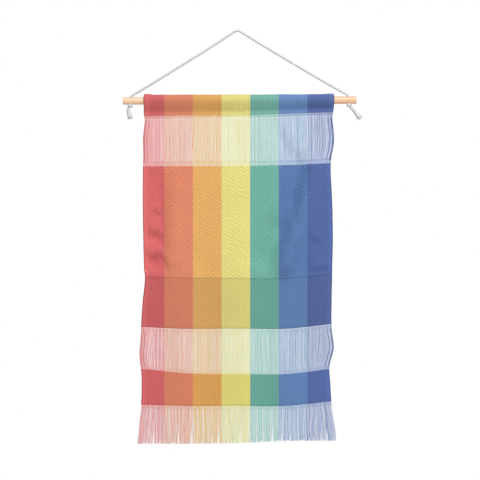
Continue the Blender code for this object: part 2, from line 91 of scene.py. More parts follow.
# Knots: turns of the cord under each hole, then the part's free tail
KNOT_TURN_RADIUS = 2.3
KNOT_CORD_RADIUS = 2.3
KNOT_DEPTH = 2.7
KNOT_PITCH = 9.0
KNOT_STEP = 0.6
TAIL_SWELL = 1.3
TAIL_Y = -0.4
Turns = namedtuple("Turns", "side count rise top lean")
LEFT_TURNS = Turns(-1, 1.35, 2.4, 1.4, 1.2)
RIGHT_TURNS = Turns(1, 1.9, 3.6, 2.0, 1.2)
Tail = namedtuple("Tail", "x drop radius")
LEFT_TAIL = [Tail(*row) for row in (
    (-184.6, 127.6, 2), (-186.5, 130.6, 2.3), (-186.2, 135, 2.6), (-184.9, 139.6, 3), (-183.6, 144, 3.5),
    (-183.1, 146.6, 3.3),
)]
RIGHT_TAIL = [Tail(*row) for row in (
    (189.3, 126, 2), (193.2, 129.2, 2.3), (197.6, 133.8, 2.6), (201.8, 139, 3), (205.9, 144.1, 3.7),
    (207.6, 146.3, 3.5),
)]
FRAY_HAIRS = 45

# Cloth: a drop and the left and right edge there, as in the part
EDGE_DROPS, EDGE_LEFTS, EDGE_RIGHTS = zip(*(
    (104, -160.3, 163.2), (128, -160.3, 162.9), (140, -160.1, 160.9), (151, -158.8, 160.8),
    (175, -161.7, 163.3), (195, -161.7, 162.4), (212, -161.5, 158.8), (233, -161.8, 157.4),
    (290, -162, 160.1), (350, -161.2, 161.2), (401, -159.9, 160.1), (420, -158.3, 159.8),
    (457, -162, 159.1), (494, -164.5, 158.8), (512, -165.2, 160.3), (534, -167.1, 163.2),
    (546, -168, 161.3), (564, -166.6, 156.3), (575, -164.8, 155.1), (588, -163.7, 156.2),
    (634, -164.9, 159.3), (661, -168.6, 163), (687, -170.3, 166.8), (702, -172.4, 166.6),
))
REST_LEFT = -162.0
REST_RIGHT = 160.0
CLOTH_WIDTH = REST_RIGHT - REST_LEFT
EDGE_FADE = 26.0

# Lines across the cloth: their drop at five places from left to right, as in the part
LINE_PLACES = (-160.0, -80.0, 0.0, 80.0, 160.0)
SEAM = (142.0, 141.0, 140.9, 138.0, 135.6)
BAND_ONE_END = (228.3, 228.2, 227.8, 226.2, 223.0)
WEAVE_CHANGE = (416.0, 418.2, 418.8, 418.9, 411.5)
BAND_TWO_TOP = (501.6, 504.6, 504.0, 504.4, 496.0)
BAND_TWO_END = (572.6, 580.6, 581.3, 581.6, 572.2)
CLOTH_END = (633.0, 635.2, 634.8, 635.0, 627.0)
FRINGE_END = (700.6, 700.4, 699.4, 695.8, 695.4)

# Cloth sections, in millimetres across its thickness
WOVEN = 1.4
SHEET = 1.15
HEM_WIDTH = 10.0
HEM_BACK = 0.8
HEM_RAISE = 0.22
HEM_STEP = 0.9
EDGE_ROUND = 1.2
HEM_STITCH = 8.3
CUT_RIM = 0.3
CUT_THINNING = 0.45
GROOVE_DEPTH = 0.30
HEM_RIPPLE = 0.11
GROOVE_WIDTH = 0.8
CHANGE_DIP = 0.22
ROW_STEP = 1.75
COLUMN_STEP = 1.75
COLUMNS_INSET = 13.0
EDGE_COLUMNS = np.array((
    0.0, 0.15, 0.45, 0.85, 1.3, 2.2, 3.6, 5.2, 6.6, 7.5, 8.0, 8.3, 8.6, 9.1, 9.6, 10.1, 10.6, 11.6))

# Pocket round the rod
POCKET_SIDE_GAP = 0.6
POCKET_TOP = 10.3
POCKET_CORNER_DROP = 2.2
POCKET_POINTS = 78
SEAM_HEIGHT = 6.3
SEAM_STITCH = 4.6
LIP_HEIGHT = 4.6
LIP_FLARE = 0.75

# Points of the pocket, counted up from its front edge, among which its stitches are placed
SEAM_POINTS = 20

# Folds: soft upright troughs (depth above 0) and ridges (below 0), as in the part
Fold = namedtuple("Fold", "x lean top bottom width depth")
FOLDS = [Fold(*row) for row in (
    (103, 0.02, 190, 400, 17, 0.8), (133, -0.01, 230, 700, 15, -1.6), (-136, 0.01, 210, 470, 15, 1),
    (-108, 0.02, 240, 640, 18, -1.5), (-52, -0.02, 260, 720, 24, 1.7), (4, 0.01, 300, 740, 22, -1.8),
    (52, 0.02, 420, 760, 20, 1.8), (-158, 0, 480, 620, 16, -3), (158, 0, 500, 590, 14, -2.6),
    (158, 0, 140, 230, 14, -2.2),
)]
FOLD_FADE = 45.0

# Unevenness of the cloth between its folds, which begins just below the pocket
UNEVEN_TOP = 150.0
UNEVEN_FADE = 60.0
Uneven = namedtuple("Uneven", "depth width height seed")
UNEVEN = (Uneven(0.40, 26.0, 60.0, 11), Uneven(0.12, 9.0, 16.0, 12))

# Creases too fine for the part: short soft lines, each from one place to another
CREASE_FADE = 0.25
Crease = namedtuple("Crease", "x drop to_x to_drop width depth")
POCKET_CREASES = [Crease(*row) for row in (
    (136, 124.5, 156, 122.5, 1.1, -0.35), (140, 128, 158, 126.6, 1, -0.40),
    (138, 131.6, 157, 131, 1.2, -0.30), (-156, 129, -140, 131, 1.3, -0.25),
    (-157, 123, -146, 124.5, 1.1, -0.22),
)]
SHEET_CREASES = [Crease(*row) for row in (
    (-158, 419, -132, 424, 2.6, 0.45), (-160, 411, -138, 407, 2.6, -0.35), (157, 411, 128, 420, 3, 0.40),
    (-150, 236, -146, 300, 3.5, 0.45), (92, 232, 99, 330, 6, 0.55), (-128, 300, -124, 412, 5, 0.50),
    (120, 420, 112, 500, 6, 0.40), (-60, 424, -66, 500, 7, 0.35), (-152, 583, -140, 626, 4, 0.45),
    (84, 588, 90, 634, 6, 0.35),
)]

# Slants: soft steps along a line, where the cloth comes forward on the right of it and goes back on the left
SLANT_FADE = 0.5
SLANT_PEAK = 1.65
SLANTS = [Crease(*row) for row in (
    (118, 215, 103, 285, 14, 5.4), (104, 280, 84, 342, 15, 6.6), (86, 336, 58, 402, 17, 7.2),
    (104, 345, 94, 408, 14, -2.4), (-117, 250, -124, 345, 15, 3), (-124, 340, -130, 396, 15, 2.8),
    (-148, 303, -134, 305, 6, 1.2), (-150, 342, -132, 344, 9, 2.4), (-151, 386, -127, 379, 12, 4.2),
    (-136, 384, -153, 410, 6, 1.6), (126, 354, 140, 352, 7, 1.2), (124, 404, 154, 399, 6, 1.2),
    (74, 160, 90, 205, 9, 1.2),
)]

# Bare warp bands. The threads lie in a full front layer and a looser one behind it.
WARP_THREADS = 300
WARP_RADIUS = 0.58
WARP_SIDES = 5
WARP_STEP = 3.6
Layer = namedtuple("Layer", "count jitter setback")
LAYERS = (Layer(WARP_THREADS, 0.13, 0.0), Layer(240, 0.4, 0.6))
BUNCH_THREADS = 40
BUNCH_WIDTH = 2.4
BUNCH_SHARE = 0.7
INNER_BUNCH = (6.6, 7.4)
GROUP = 5
CLUMP_PULL = 0.03
CLUMP_WANDER = 0.08

# Tone of the yarn, up to 1 for the palest, in streaks along the threads
YARN_DEEP = -0.25
YARN_MIDDLE = 0.375
YARN_CHANGE = 0.34
STREAK_WANDER = 2.6
STREAK_MARGIN = 30

# Bare bands: where threads are pinched together, and where they are deeper as they lie densely
Pinch = namedtuple("Pinch", "offset reach pull")
Dense = namedtuple("Dense", "offset reach share")
Band = namedtuple("Band", "name top bottom seed top_pinches low_pinches top_dense low_dense")
BANDS = (
    Band("upper_warp", SEAM, BAND_ONE_END, 41,
         (Pinch(2.4, 1.5, 0.10), Pinch(7.4, 2.0, 0.12)), (Pinch(8.4, 2.2, 0.08),),
         (Dense(1.0, 2.6, 0.45), Dense(5.0, 1.4, 0.25)), (Dense(6.4, 1.4, 0.2), Dense(2.6, 1.2, 0.15))),
    Band("lower_warp", BAND_TWO_TOP, BAND_TWO_END, 51,
         (Pinch(3.4, 1.8, 0.08),), (Pinch(3.4, 1.8, 0.06),),
         (Dense(2.4, 1.4, 0.2),), (Dense(1.6, 2.0, 0.2),)),
)

# Single weft threads beside the woven edges, below a line (direction 1) or above it (-1)
WEFT_STEP = 0.9
Weft = namedtuple("Weft", "offset radius wave phase dip tone")
Wefts = namedtuple("Wefts", "name line direction seed rows")
WEFTS = (
    Wefts("upper_top_weft", SEAM, 1.0, 71, (
        Weft(2.3, 0.55, 0.1, 0.0, 0.95, 1.0), Weft(6.9, 0.55, 0.15, 0.5, 0.95, 1.0))),
    Wefts("upper_low_weft", BAND_ONE_END, -1.0, 72, (
        Weft(8.4, 0.50, 0.2, 0.5, 0.95, 1.0), Weft(4.3, 0.50, 0.2, 0.0, 0.7, 1.0),
        Weft(1.2, 0.45, 0.15, 0.5, 0.95, 0.15))),
    Wefts("lower_top_weft", BAND_TWO_TOP, 1.0, 73, (
        Weft(1.5, 0.45, 0.1, 0.0, 0.6, 0.8), Weft(3.6, 0.50, 0.2, 0.5, 0.9, 0.8))),
    Wefts("lower_low_weft", BAND_TWO_END, -1.0, 74, (
        Weft(1.2, 0.45, 0.1, 0.0, 0.6, 0.8), Weft(3.2, 0.45, 0.2, 0.5, 0.9, 0.8))),
    Wefts("fringe_weft", CLOTH_END, 1.0, 75, (
        Weft(2.7, 0.70, 0.15, 0.0, 1.0, 1.0), Weft(5.4, 0.50, 0.2, 0.5, 0.9, 0.3))),
)

# Fringe
FRINGE_SEED = 77
FRINGE_STEPS = 19
FRINGE_RAGGED = 3.2
FRINGE_PINCHES = (Pinch(2.6, 2.4, 0.10),)
FRINGE_DENSE = (Dense(0.0, 3.0, 0.2),)
PART_REACH = 7.0
Part = namedtuple("Part", "x width rise")
PARTS = [Part(*row) for row in (
    (-139, 1.2, 30), (-126.3, 0.6, 50), (-101.2, 1.5, 36), (-78.3, 2.4, 42), (-33.7, 2.1, 50),
    (3.3, 1, 38), (30.9, 1, 58), (58.6, 1.6, 50), (73.4, 0.8, 36), (88.3, 0.9, 30), (96.8, 0.9, 34),
    (114.6, 0.5, 30), (129.8, 0.6, 40), (145.3, 1, 34),
)]

# Stitches
STITCH_LENGTH = 2.7
STITCH_PITCH = 3.9
STITCH_RADIUS = 0.26
SEAM_PITCH = 5.4
STITCH_SIDES = 6
STITCH_SINK = 0.9
STITCH_TONE = 0.3
STITCH_SHARES = np.array((-0.5, -0.32, 0.0, 0.32, 0.5))
STITCH_SWELL = np.array((0.5, 0.95, 1.05, 0.95, 0.5))

# Light: a key lamp high on the right, a weak fill, and a room that is brightest in front
Lamp = namedtuple("Lamp", "name place size power")
LAMPS = (
    Lamp("key", (1.5, -2.2, 2.0), 1.3, 70.0),
    Lamp("top", (0.1, -2.3, 2.2), 0.5, 11.0),
    Lamp("fill", (-1.8, -2.8, 0.3), 1.8, 8.0),
)
LAMPS_AIM = (0.0, 0.0, -0.35)
ROOM_ALL = 0.24
ROOM_FRONT = 0.31
ROOM_ABOVE = 0.22

# Floor, in metres
FLOOR_RADIUS = 3.4
FLOOR_HEIGHT = -1.25
FLOOR_SIDES = 96

# Weaves, with pitches in millimetres. A weave's shares say how strongly its lines show.
TWILL_SLOPE = 0.56
TWILL_PITCH = 5.86
FINE_TWILL_PITCH = 1.95
WARP_PITCH = 1.07
WEFT_PITCH = 1.1
PLAIN_RIB = 5.1
PLAIN_ROW = 4.4
SMALL_CHECK = 3.55
DIAMOND_RISE = 1.44
WEAVE_BUMP = 0.5
WEAVE_HEIGHT = 0.00025
HEM_PALER = 1.13
LINE_SHADOW = 0.34
Weave = namedtuple("Weave", "diamonds ribs rows check")
POCKET_WEAVE = Weave(True, 0.06, 0.20, 0.0)
PLAIN_WEAVE = Weave(False, 0.04, 0.03, 0.035)

# Colours that are the same all over a piece, and the shader's names for its amounts
WHITE = (1.0, 1.0, 1.0, 1.0)
FLOOR_COLOUR = (0.76, 0.76, 0.755, 1.0)
YARN_GREY = (0.73, 0.735, 0.75, 1.0)
# Painted shade on the rope's underside
COTTON_SHADE = (0.62, 0.62, 0.62, 1.0)
WOOD_LIGHT = (1.0, 0.655, 0.395, 1.0)
WOOD_DARK = (0.95, 0.455, 0.205, 1.0)
WOOD_PORES = (0.62, 0.34, 0.17, 1.0)
SHADER_AMOUNTS = {
    "roughness": "Roughness", "specular": "Specular IOR Level", "sheen": "Sheen Weight",
    "sheen_roughness": "Sheen Roughness", "coat": "Coat Weight", "coat_roughness": "Coat Roughness",
    "coat_index": "Coat IOR",
}

# Stripes: evenly wide, and each starts on one of the steps by which a colour ramp is read
STRIPE_WIDTH = 48.58
SECOND_STRIPE = -125.18
STRIPE_STEPS = 34
FIRST_STEPS = 40
RAMP_STEPS = 256

# The stripes' colours from left to right: in each weave, in the pocket and as bare yarn
STRIPES = {
    "twill": ((0.660, 0.135, 0.135), (0.720, 0.235, 0.135), (0.770, 0.415, 0.130), (0.775, 0.690, 0.225),
              (0.155, 0.420, 0.345), (0.100, 0.190, 0.410), (0.082, 0.134, 0.345)),
    "plain": ((0.560, 0.108, 0.113), (0.625, 0.203, 0.116), (0.636, 0.345, 0.108), (0.658, 0.595, 0.190),
              (0.130, 0.355, 0.290), (0.105, 0.198, 0.400), (0.080, 0.120, 0.300)),
    "panel": ((0.633, 0.122, 0.126), (0.675, 0.216, 0.120), (0.695, 0.341, 0.094), (0.711, 0.636, 0.177),
              (0.133, 0.372, 0.303), (0.113, 0.218, 0.451), (0.087, 0.142, 0.373)),
    "pocket": ((0.600, 0.125, 0.125), (0.655, 0.222, 0.125), (0.675, 0.355, 0.105), (0.710, 0.630, 0.205),
               (0.170, 0.415, 0.345), (0.135, 0.245, 0.485), (0.090, 0.140, 0.345)),
    "yarn": ((0.945, 0.335, 0.335), (0.960, 0.515, 0.355), (0.970, 0.665, 0.290), (0.970, 0.960, 0.475),
             (0.420, 0.740, 0.675), (0.385, 0.555, 0.810), (0.340, 0.440, 0.725)),
}


# Curves and noise
def ramp(value):
    """Go softly from 0 to 1 as the value goes from 0 to 1."""
    held = np.clip(value, 0.0, 1.0)
    return held * held * (3.0 - 2.0 * held)


def bell(value):
    """1 at 0 and softly down to nothing, about 2 to either side."""
    return np.exp(-value * value)


def curve_through(places, values, at):
    """Read a smooth curve that passes through the values at the places, held at its ends."""
    places = np.asarray(places, float)
    values = np.asarray(values, float)
    last = len(places) - 1
    low = np.maximum(np.arange(last + 1) - 1, 0)
    high = np.minimum(np.arange(last + 1) + 1, last)
    slopes = (values[high] - values[low]) / (places[high] - places[low])
    at = np.clip(at, places[0], places[-1])
    k = np.clip(np.searchsorted(places, at, side="right") - 1, 0, last - 1)
    span = places[k + 1] - places[k]
    t = (at - places[k]) / span
    start = (2 * t ** 3 - 3 * t ** 2 + 1) * values[k] + (t ** 3 - 2 * t ** 2 + t) * span * slopes[k]
    end = (3 * t ** 2 - 2 * t ** 3) * values[k + 1] + (t ** 3 - t ** 2) * span * slopes[k + 1]
    return start + end


def soft_noise(x, y, seed):
    """Smooth noise from -1 to 1 on a grid of cells one unit wide."""
    lattice = np.random.default_rng(seed).uniform(-1.0, 1.0, (NOISE_CELLS, NOISE_CELLS))
    x, y = np.broadcast_arrays(np.asarray(x, float), np.asarray(y, float))
    column = np.floor(x).astype(int)
    row = np.floor(y).astype(int)
    u = ramp(x - column)
    v = ramp(y - row)

    def corner(i, j):
        return lattice[(row + j) % NOISE_CELLS, (column + i) % NOISE_CELLS]

    upper = corner(0, 0) * (1 - u) + corner(1, 0) * u
    lower = corner(0, 1) * (1 - u) + corner(1, 1) * u
    return upper * (1 - v) + lower * v


def spaced(start, end, step):
    return np.linspace(start, end, max(2, int(round((end - start) / step)) + 1))


def way_along(points):
    """How far along a path each of its points is."""
    return np.concatenate(([0.0], np.cumsum(np.linalg.norm(np.diff(points, axis=0), axis=1))))


def stacked(*parts):
    """Arrays or numbers of fitting shapes as the columns of one array."""
    return np.stack(np.broadcast_arrays(*parts), -1)


# Outline of the cloth
def left_edge(drop):
    return curve_through(EDGE_DROPS, EDGE_LEFTS, drop)


def right_edge(drop):
    return curve_through(EDGE_DROPS, EDGE_RIGHTS, drop)


def line_drop(line, x):
    return curve_through(LINE_PLACES, line, x)


def between(top, bottom, share, x):
    """Drop at a share of the way from one line down to another."""
    return line_drop(top, x) * (1 - share) + line_drop(bottom, x) * share


def axis_drop(x):
    """Drop of the rod's axis."""
    return ROD_DROP - ROD_RISE * (x - ROD_MIDDLE_X) / ROD_LENGTH


def place_x(rest, drop):
    """Where a warp thread is at a drop: it keeps its place but for the hems, which follow the edges."""
    from_left = rest - REST_LEFT
    from_right = REST_RIGHT - rest
    left = ramp(1.0 - (from_left - HEM_WIDTH) / EDGE_FADE)
    right = ramp(1.0 - (from_right - HEM_WIDTH) / EDGE_FADE)
    return rest + (left_edge(drop) - REST_LEFT) * left + (right_edge(drop) - REST_RIGHT) * right


def settle(rest, drop_at):
    """The x of a thread and its drop on a line, as each depends a little on the other."""
    x = rest
    for _ in range(3):
        x = place_x(rest, drop_at(x))
    return x, drop_at(x)


def from_edge(rest):
    return np.minimum(rest - REST_LEFT, REST_RIGHT - rest)


# Relief of the cloth
def hang(x, drop):
    """How far back the cloth's middle lies at a place, from its folds and a little unevenness."""
    depth = np.zeros(np.broadcast(x, drop).shape)
    for fold in FOLDS:
        across = (x - fold.x - fold.lean * (drop - fold.top)) / fold.width
        along = ramp((drop - fold.top) / FOLD_FADE) * ramp((fold.bottom - drop) / FOLD_FADE)
        depth = depth + fold.depth * along * bell(across)
    depth = depth + slant_depth(x, drop)
    below = ramp((drop - UNEVEN_TOP) / UNEVEN_FADE)
    for wave in UNEVEN:
        depth = depth + below * wave.depth * soft_noise(x / wave.width, drop / wave.height, wave.seed)
    return depth


def beside(crease, x, drop, fade):
    """How many widths away from a crease a place is, and how much of the crease is left there."""
    run_x = crease.to_x - crease.x
    run_drop = crease.to_drop - crease.drop
    length = math.hypot(run_x, run_drop)
    along = ((x - crease.x) * run_x + (drop - crease.drop) * run_drop) / length ** 2
    across = ((x - crease.x) * run_drop - (drop - crease.drop) * run_x) / length / crease.width
    return across, ramp(along / fade + 0.5) * ramp((1.0 - along) / fade + 0.5)


def crease_depth(creases, x, drop):
    """Depth of short creases, each a soft line that fades at both ends."""
    depth = np.zeros(np.broadcast(x, drop).shape)
    for crease in creases:
        across, left = beside(crease, x, drop, CREASE_FADE)
        depth = depth + crease.depth * left * bell(across)
    return depth


def slant_depth(x, drop):
    """Depth of the soft steps: greatest one width to either side of each line."""
    depth = np.zeros(np.broadcast(x, drop).shape)
    for slant in SLANTS:
        across, left = beside(slant, x, drop, SLANT_FADE)
        depth = depth - SLANT_PEAK * slant.depth * left * across * np.exp(-across * across / 2)
    return depth


def edge_round(distance):
    """Share of the thickness that is left near a folded edge."""
    inside = np.clip(distance / EDGE_ROUND, 0.02, 1.0)
    return np.sqrt(1.0 - (1.0 - inside) ** 2)


def hem_share(distance):
    return ramp((HEM_WIDTH - distance) / HEM_STEP + 0.5)


def hem_ripple(distance, drop):
    """Small puckers that the hem's stitches draw across it."""
    window = ramp((HEM_WIDTH - distance) / 3.0) * ramp(distance / 1.5)
    turn = 2 * math.pi * drop / STITCH_PITCH + 1.5 * soft_noise(drop / 9.0, 0.0, 14)
    return HEM_RIPPLE * window * np.sin(turn)


def hem_groove(distance):
    return GROOVE_DEPTH * bell((distance - HEM_STITCH) / GROOVE_WIDTH)


def seam_dip(x, drop):
    """The line where the weave changes is drawn in a little."""
    return CHANGE_DIP * bell((drop - line_drop(WEAVE_CHANGE, x)) / 1.1)


# Meshes
def link(made):
    bpy.context.scene.collection.objects.link(made)
    return made


def make_piece(name, points, faces, flat, material):
    """An object of points in millimetres. flat holds each point's place on the flat cloth."""
    mesh = bpy.data.meshes.new(name)
    mesh.from_pydata((np.asarray(points) * MM).tolist(), [], faces)
    layer = mesh.attributes.new("flat", "FLOAT_VECTOR", "POINT")
    layer.data.foreach_set("vector", np.asarray(flat, np.float32).ravel())
    mesh.materials.append(material)
    mesh.shade_smooth()
    mesh.set_sharp_from_angle(angle=math.radians(50))
    return link(bpy.data.objects.new(name, mesh))


def dress(made, node="cloth"):
    """Hide the part's node that a piece stands for, and hang the piece on the root body."""
    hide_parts(node)
    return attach(made, "root")


def face_outwards(made):
    work = bmesh.new()
    work.from_mesh(made.data)
    bmesh.ops.recalc_face_normals(work, faces=work.faces)
    work.to_mesh(made.data)
    work.free()


def grid_faces(rows, columns, start, flip=False, loop=False):
    """Quads between the points of a grid that is stored row by row."""
    reach = columns if loop else columns - 1
    r, c = np.meshgrid(np.arange(rows - 1), np.arange(reach), indexing="ij")
    after = (c + 1) % columns
    corners = (r * columns + c, (r + 1) * columns + c, (r + 1) * columns + after, r * columns + after)
    if flip:
        corners = corners[::-1]
    return (np.stack(corners, -1).reshape(-1, 4) + start).tolist()


def tube_faces(steps, sides, start=0, flip=False):
    """Quads of a tube that is stored ring by ring, with a flat face over each end."""
    last = start + (steps - 1) * sides
    caps = [list(range(start, start + sides)), list(range(last, last + sides))[::-1]]
    return grid_faces(steps, sides, start, flip, loop=True) + caps


def slab(front, back):
    """Points and faces of a closed sheet. Each side is an array of rows, columns and x, y, z."""
    rows, columns, _ = front.shape
    count = rows * columns
    points = np.concatenate((front.reshape(-1, 3), back.reshape(-1, 3)))
    faces = grid_faces(rows, columns, 0) + grid_faces(rows, columns, count, flip=True)
    for row, flip in ((0, False), (rows - 1, True)):
        line = row * columns + np.arange(columns)
        faces += rim_faces(line, line + count, flip)
    for column, flip in ((0, True), (columns - 1, False)):
        line = column + columns * np.arange(rows)
        faces += rim_faces(line, line + count, flip)
    return points, faces


def rim_faces(front, back, flip):
    quads = np.stack((front[:-1], front[1:], back[1:], back[:-1]), -1)
    if flip:
        quads = quads[:, ::-1]
    return quads.tolist()


def joined(parts):
    """Points, faces and flat places of several meshes as those of one."""
    points, faces, flats = zip(*parts)
    starts = np.cumsum([0] + [len(some) for some in points]).tolist()
    moved = [[k + start for k in face] for start, some in zip(starts, faces) for face in some]
    return np.concatenate(points), moved, np.concatenate(flats)


def circle(sides):
    angles = 2 * math.pi * np.arange(sides) / sides
    return np.cos(angles), np.sin(angles)


def threads(centres, radii, flat, sides=WARP_SIDES, upright=True):
    """Points, faces and flat places of many round threads, all from arrays of threads and steps."""
    centres = stacked(*centres)
    count, steps, _ = centres.shape
    one = np.array((1.0, 0.0, 0.0)) if upright else np.array((0.0, 0.0, 1.0))
    cosines, sines = circle(sides)
    ring = cosines[:, None] * one + sines[:, None] * np.array((0.0, 1.0, 0.0))
    points = centres[:, :, None, :] + radii[:, :, None, None] * ring
    faces = []
    for k in range(count):
        faces += tube_faces(steps, sides, k * steps * sides, flip=upright)
    return points.reshape(-1, 3), faces, np.repeat(stacked(*flat).reshape(-1, 3), sides, axis=0)


def travelling_frames(path):
    """Unit vectors across a path that turn with it as little as they can."""
    along = np.gradient(path, axis=0)
    along /= np.linalg.norm(along, axis=1)[:, None]
    side = np.cross(along[0], (0.0, 1.0, 0.0))
    if np.linalg.norm(side) < 0.3:
        side = np.cross(along[0], (1.0, 0.0, 0.0))
    sides = []
    for direction in along:
        side = side - direction * np.dot(side, direction)
        side = side / np.linalg.norm(side)
        sides.append(side)
    sides = np.array(sides)
    return along, sides, np.cross(along, sides)


def round_tube(path, radii, sides):
    """Points and faces of one tube along any path, its ends closed."""
    _, one, two = travelling_frames(path)
    cosines, sines = circle(sides)
    ring = cosines[None, :, None] * one[:, None, :] + sines[None, :, None] * two[:, None, :]
    points = path[:, None, :] + radii[:, None, None] * ring
    return points.reshape(-1, 3), tube_faces(len(path), sides)


def twisted_rope(path, radii, pitch, spread=1.0, rounded=True):
    """Three strands laid round a path. Flat places hold strand, way along and how shaded the side is."""
    _, one, two = travelling_frames(path)
    travelled = way_along(path)
    thick = STRAND_RADIUS * radii
    if rounded:
        thick = thick * np.sqrt(np.clip((travelled[-1] - travelled) / STRAND_ROUND, 0.08, 1.0))
    off = STRAND_OFFSET * radii * spread
    strands = []
    for strand in range(3):
        turn = 2 * math.pi * (travelled / pitch + strand / 3.0)
        centre = path + off[:, None] * (np.cos(turn)[:, None] * one + np.sin(turn)[:, None] * two)
        points, faces = round_tube(centre, thick, STRAND_SIDES)
        middle, radius, way = (np.repeat(part, STRAND_SIDES, axis=0) for part in (path, radii, travelled))
        lit = (points - middle) @ ROPE_LIT_SIDE / radius
        strands.append((points, faces, stacked(float(strand), way, ramp(0.45 - lit))))
    return joined(strands)


def even_path(points, step):
    """Points a step apart on a smooth curve through the given ones."""
    points = np.asarray(points, float)
    places = way_along(points)
    at = spaced(0.0, places[-1], step)
    return stacked(*(curve_through(places, line, at) for line in points.T))


# Materials
class Value:
    """A number that nodes work out. Sums, differences and products of values add more nodes."""

    def __init__(self, nodes, socket):
        self.nodes = nodes
        self.socket = socket

    def maths(self, operation, other=0.0):
        node = self.nodes.add("ShaderNodeMath", {0: self, 1: other}, operation=operation)
        return Value(self.nodes, node.outputs[0])

    def __add__(self, other):
        return self.maths("ADD", other)

    def __sub__(self, other):
        return self.maths("SUBTRACT", other)

    def __mul__(self, other):
        return self.maths("MULTIPLY", other)

    def wave(self, pitch):
        """From -1 to 1 and back once in each pitch."""
        return (self * (2 * math.pi / pitch)).maths("SINE")

    def rescale(self, low, high, to_low, to_high):
        inputs = {"Value": self, "From Min": low, "From Max": high, "To Min": to_low, "To Max": to_high}
        return Value(self.nodes, self.nodes.add("ShaderNodeMapRange", inputs).outputs["Result"])


class Nodes:
    """A tree of nodes, and short ways to add to it."""

    def __init__(self, tree):
        self.tree = tree

    def add(self, kind, inputs=(), **settings):
        node = self.tree.nodes.new(kind)
        for name, value in settings.items():
            setattr(node, name, value)
        for name, value in dict(inputs).items():
            self.feed(node.inputs[name], value)
        return node

    def feed(self, socket, value):
        if isinstance(value, Value):
            value = value.socket
        if isinstance(value, bpy.types.NodeSocket):
            self.tree.links.new(value, socket)
        else:
            socket.default_value = value

    def split(self, vector):
        """The three numbers of a vector."""
        return [Value(self, part) for part in self.add("ShaderNodeSeparateXYZ", {0: vector}).outputs]


class Finish(Nodes):
    """A material being made. amounts are the shader's values that are the same all over."""

    def __init__(self, name, **amounts):
        self.material = bpy.data.materials.new(name)
        self.material.use_nodes = True
        super().__init__(self.material.node_tree)
        self.shader = self.tree.nodes["Principled BSDF"]
        self.shader.inputs["Specular IOR Level"].default_value = 0.3
        for amount, value in amounts.items():
            self.shader.inputs[SHADER_AMOUNTS[amount]].default_value = value

    def flat(self):
        """The place on the flat cloth: the vector, and its three numbers."""
        place = self.add("ShaderNodeAttribute", attribute_name="flat").outputs["Vector"]
        return place, *self.split(place)

    def noise(self, where, scale, detail=2.0, stretch=None):
        """Soft noise, stretched by its own scale along each axis where one is given."""
        if stretch:
            where = self.add("ShaderNodeMapping", {"Vector": where, "Scale": stretch}).outputs["Vector"]
        node = self.add("ShaderNodeTexNoise", {"Vector": where, "Scale": scale, "Detail": detail})
        return Value(self, node.outputs["Fac"])

    def patchy(self, place, scale, low, high, stretch=None):
        """A share from low to high that changes softly from place to place."""
        return self.noise(place, scale, stretch=stretch).rescale(0.35, 0.65, low, high)

    def stripes(self, x, kind):
        """The stripe that a place across the cloth lies in, in one kind of its colours."""
        step = STRIPE_WIDTH / STRIPE_STEPS
        low = SECOND_STRIPE - FIRST_STEPS * step
        node = self.add("ShaderNodeValToRGB", {0: x.rescale(low, low + RAMP_STEPS * step, 0.0, 1.0)})
        stops = node.color_ramp
        stops.interpolation = "CONSTANT"
        for k, colour in enumerate(STRIPES[kind]):
            place = (FIRST_STEPS + STRIPE_STEPS * (k - 1) - 0.5) / RAMP_STEPS if k else 0.0
            stop = stops.elements[k] if k < 2 else stops.elements.new(place)
            stop.position = place
            stop.color = (*colour, 1.0)
        return node.outputs["Color"]

    def blend(self, share, one, two):
        node = self.add("ShaderNodeMix", {"Factor": share, 6: one, 7: two}, data_type="RGBA")
        return node.outputs[2]

    def shade(self, colour, amount):
        """The colour made lighter or darker by an amount near 1."""
        node = self.add("ShaderNodeVectorMath", {0: colour, "Scale": amount}, operation="SCALE")
        return node.outputs["Vector"]

    def bump(self, height, strength, distance):
        inputs = {"Height": height, "Strength": strength, "Distance": distance}
        self.feed(self.shader.inputs["Normal"], self.add("ShaderNodeBump", inputs).outputs["Normal"])

    def paint(self, colour):
        self.feed(self.shader.inputs["Base Color"], colour)

    def paint_cloth(self, x, shadow, kind, amounts):
        """Stripes times all amounts, paler on the doubled hems, with painted shade where the cloth is drawn
        in.
        """
        far = (x - (REST_LEFT + REST_RIGHT) / 2).maths("ABSOLUTE")
        hem = far.maths("GREATER_THAN", CLOTH_WIDTH / 2 - HEM_STITCH - 1.0)
        total = (shadow * -LINE_SHADOW + 1.0) * (hem * (HEM_PALER - 1.0) + 1.0)
        for amount in amounts:
            total = total * amount
        self.paint(self.shade(self.stripes(x, kind), total))


def twill_finish():
    """Twill: ribs that run down to the right, in places stronger, with fine ones between them."""
    finish = Finish("twill", roughness=0.88, sheen=0.06, sheen_roughness=0.5)
    place, x, drop, shadow = finish.flat()
    slant = drop - x * TWILL_SLOPE + finish.noise(place, 0.03) * 7.0 + finish.noise(place, 0.11) * 4.5
    broad = slant.wave(TWILL_PITCH) * finish.patchy(place, 0.06, 0.35, 1.2)
    broad = broad * finish.patchy(place, 0.6, 0.2, 1.8, (0.35, 0.75, 1.0))
    fine = slant.wave(FINE_TWILL_PITCH)
    cloud = finish.patchy(place, 0.02, 0.985, 1.015)
    flecks = finish.patchy(place, 0.5, 0.95, 1.05)
    finish.paint_cloth(x, shadow, "twill", (broad * 0.10 + 1.0, fine * 0.04 + 1.0, cloud, flecks))
    height = fine * 0.4 + x.wave(WARP_PITCH) * 0.3 + broad * 0.8
    finish.bump(height, WEAVE_BUMP, WEAVE_HEIGHT)
    return finish.material


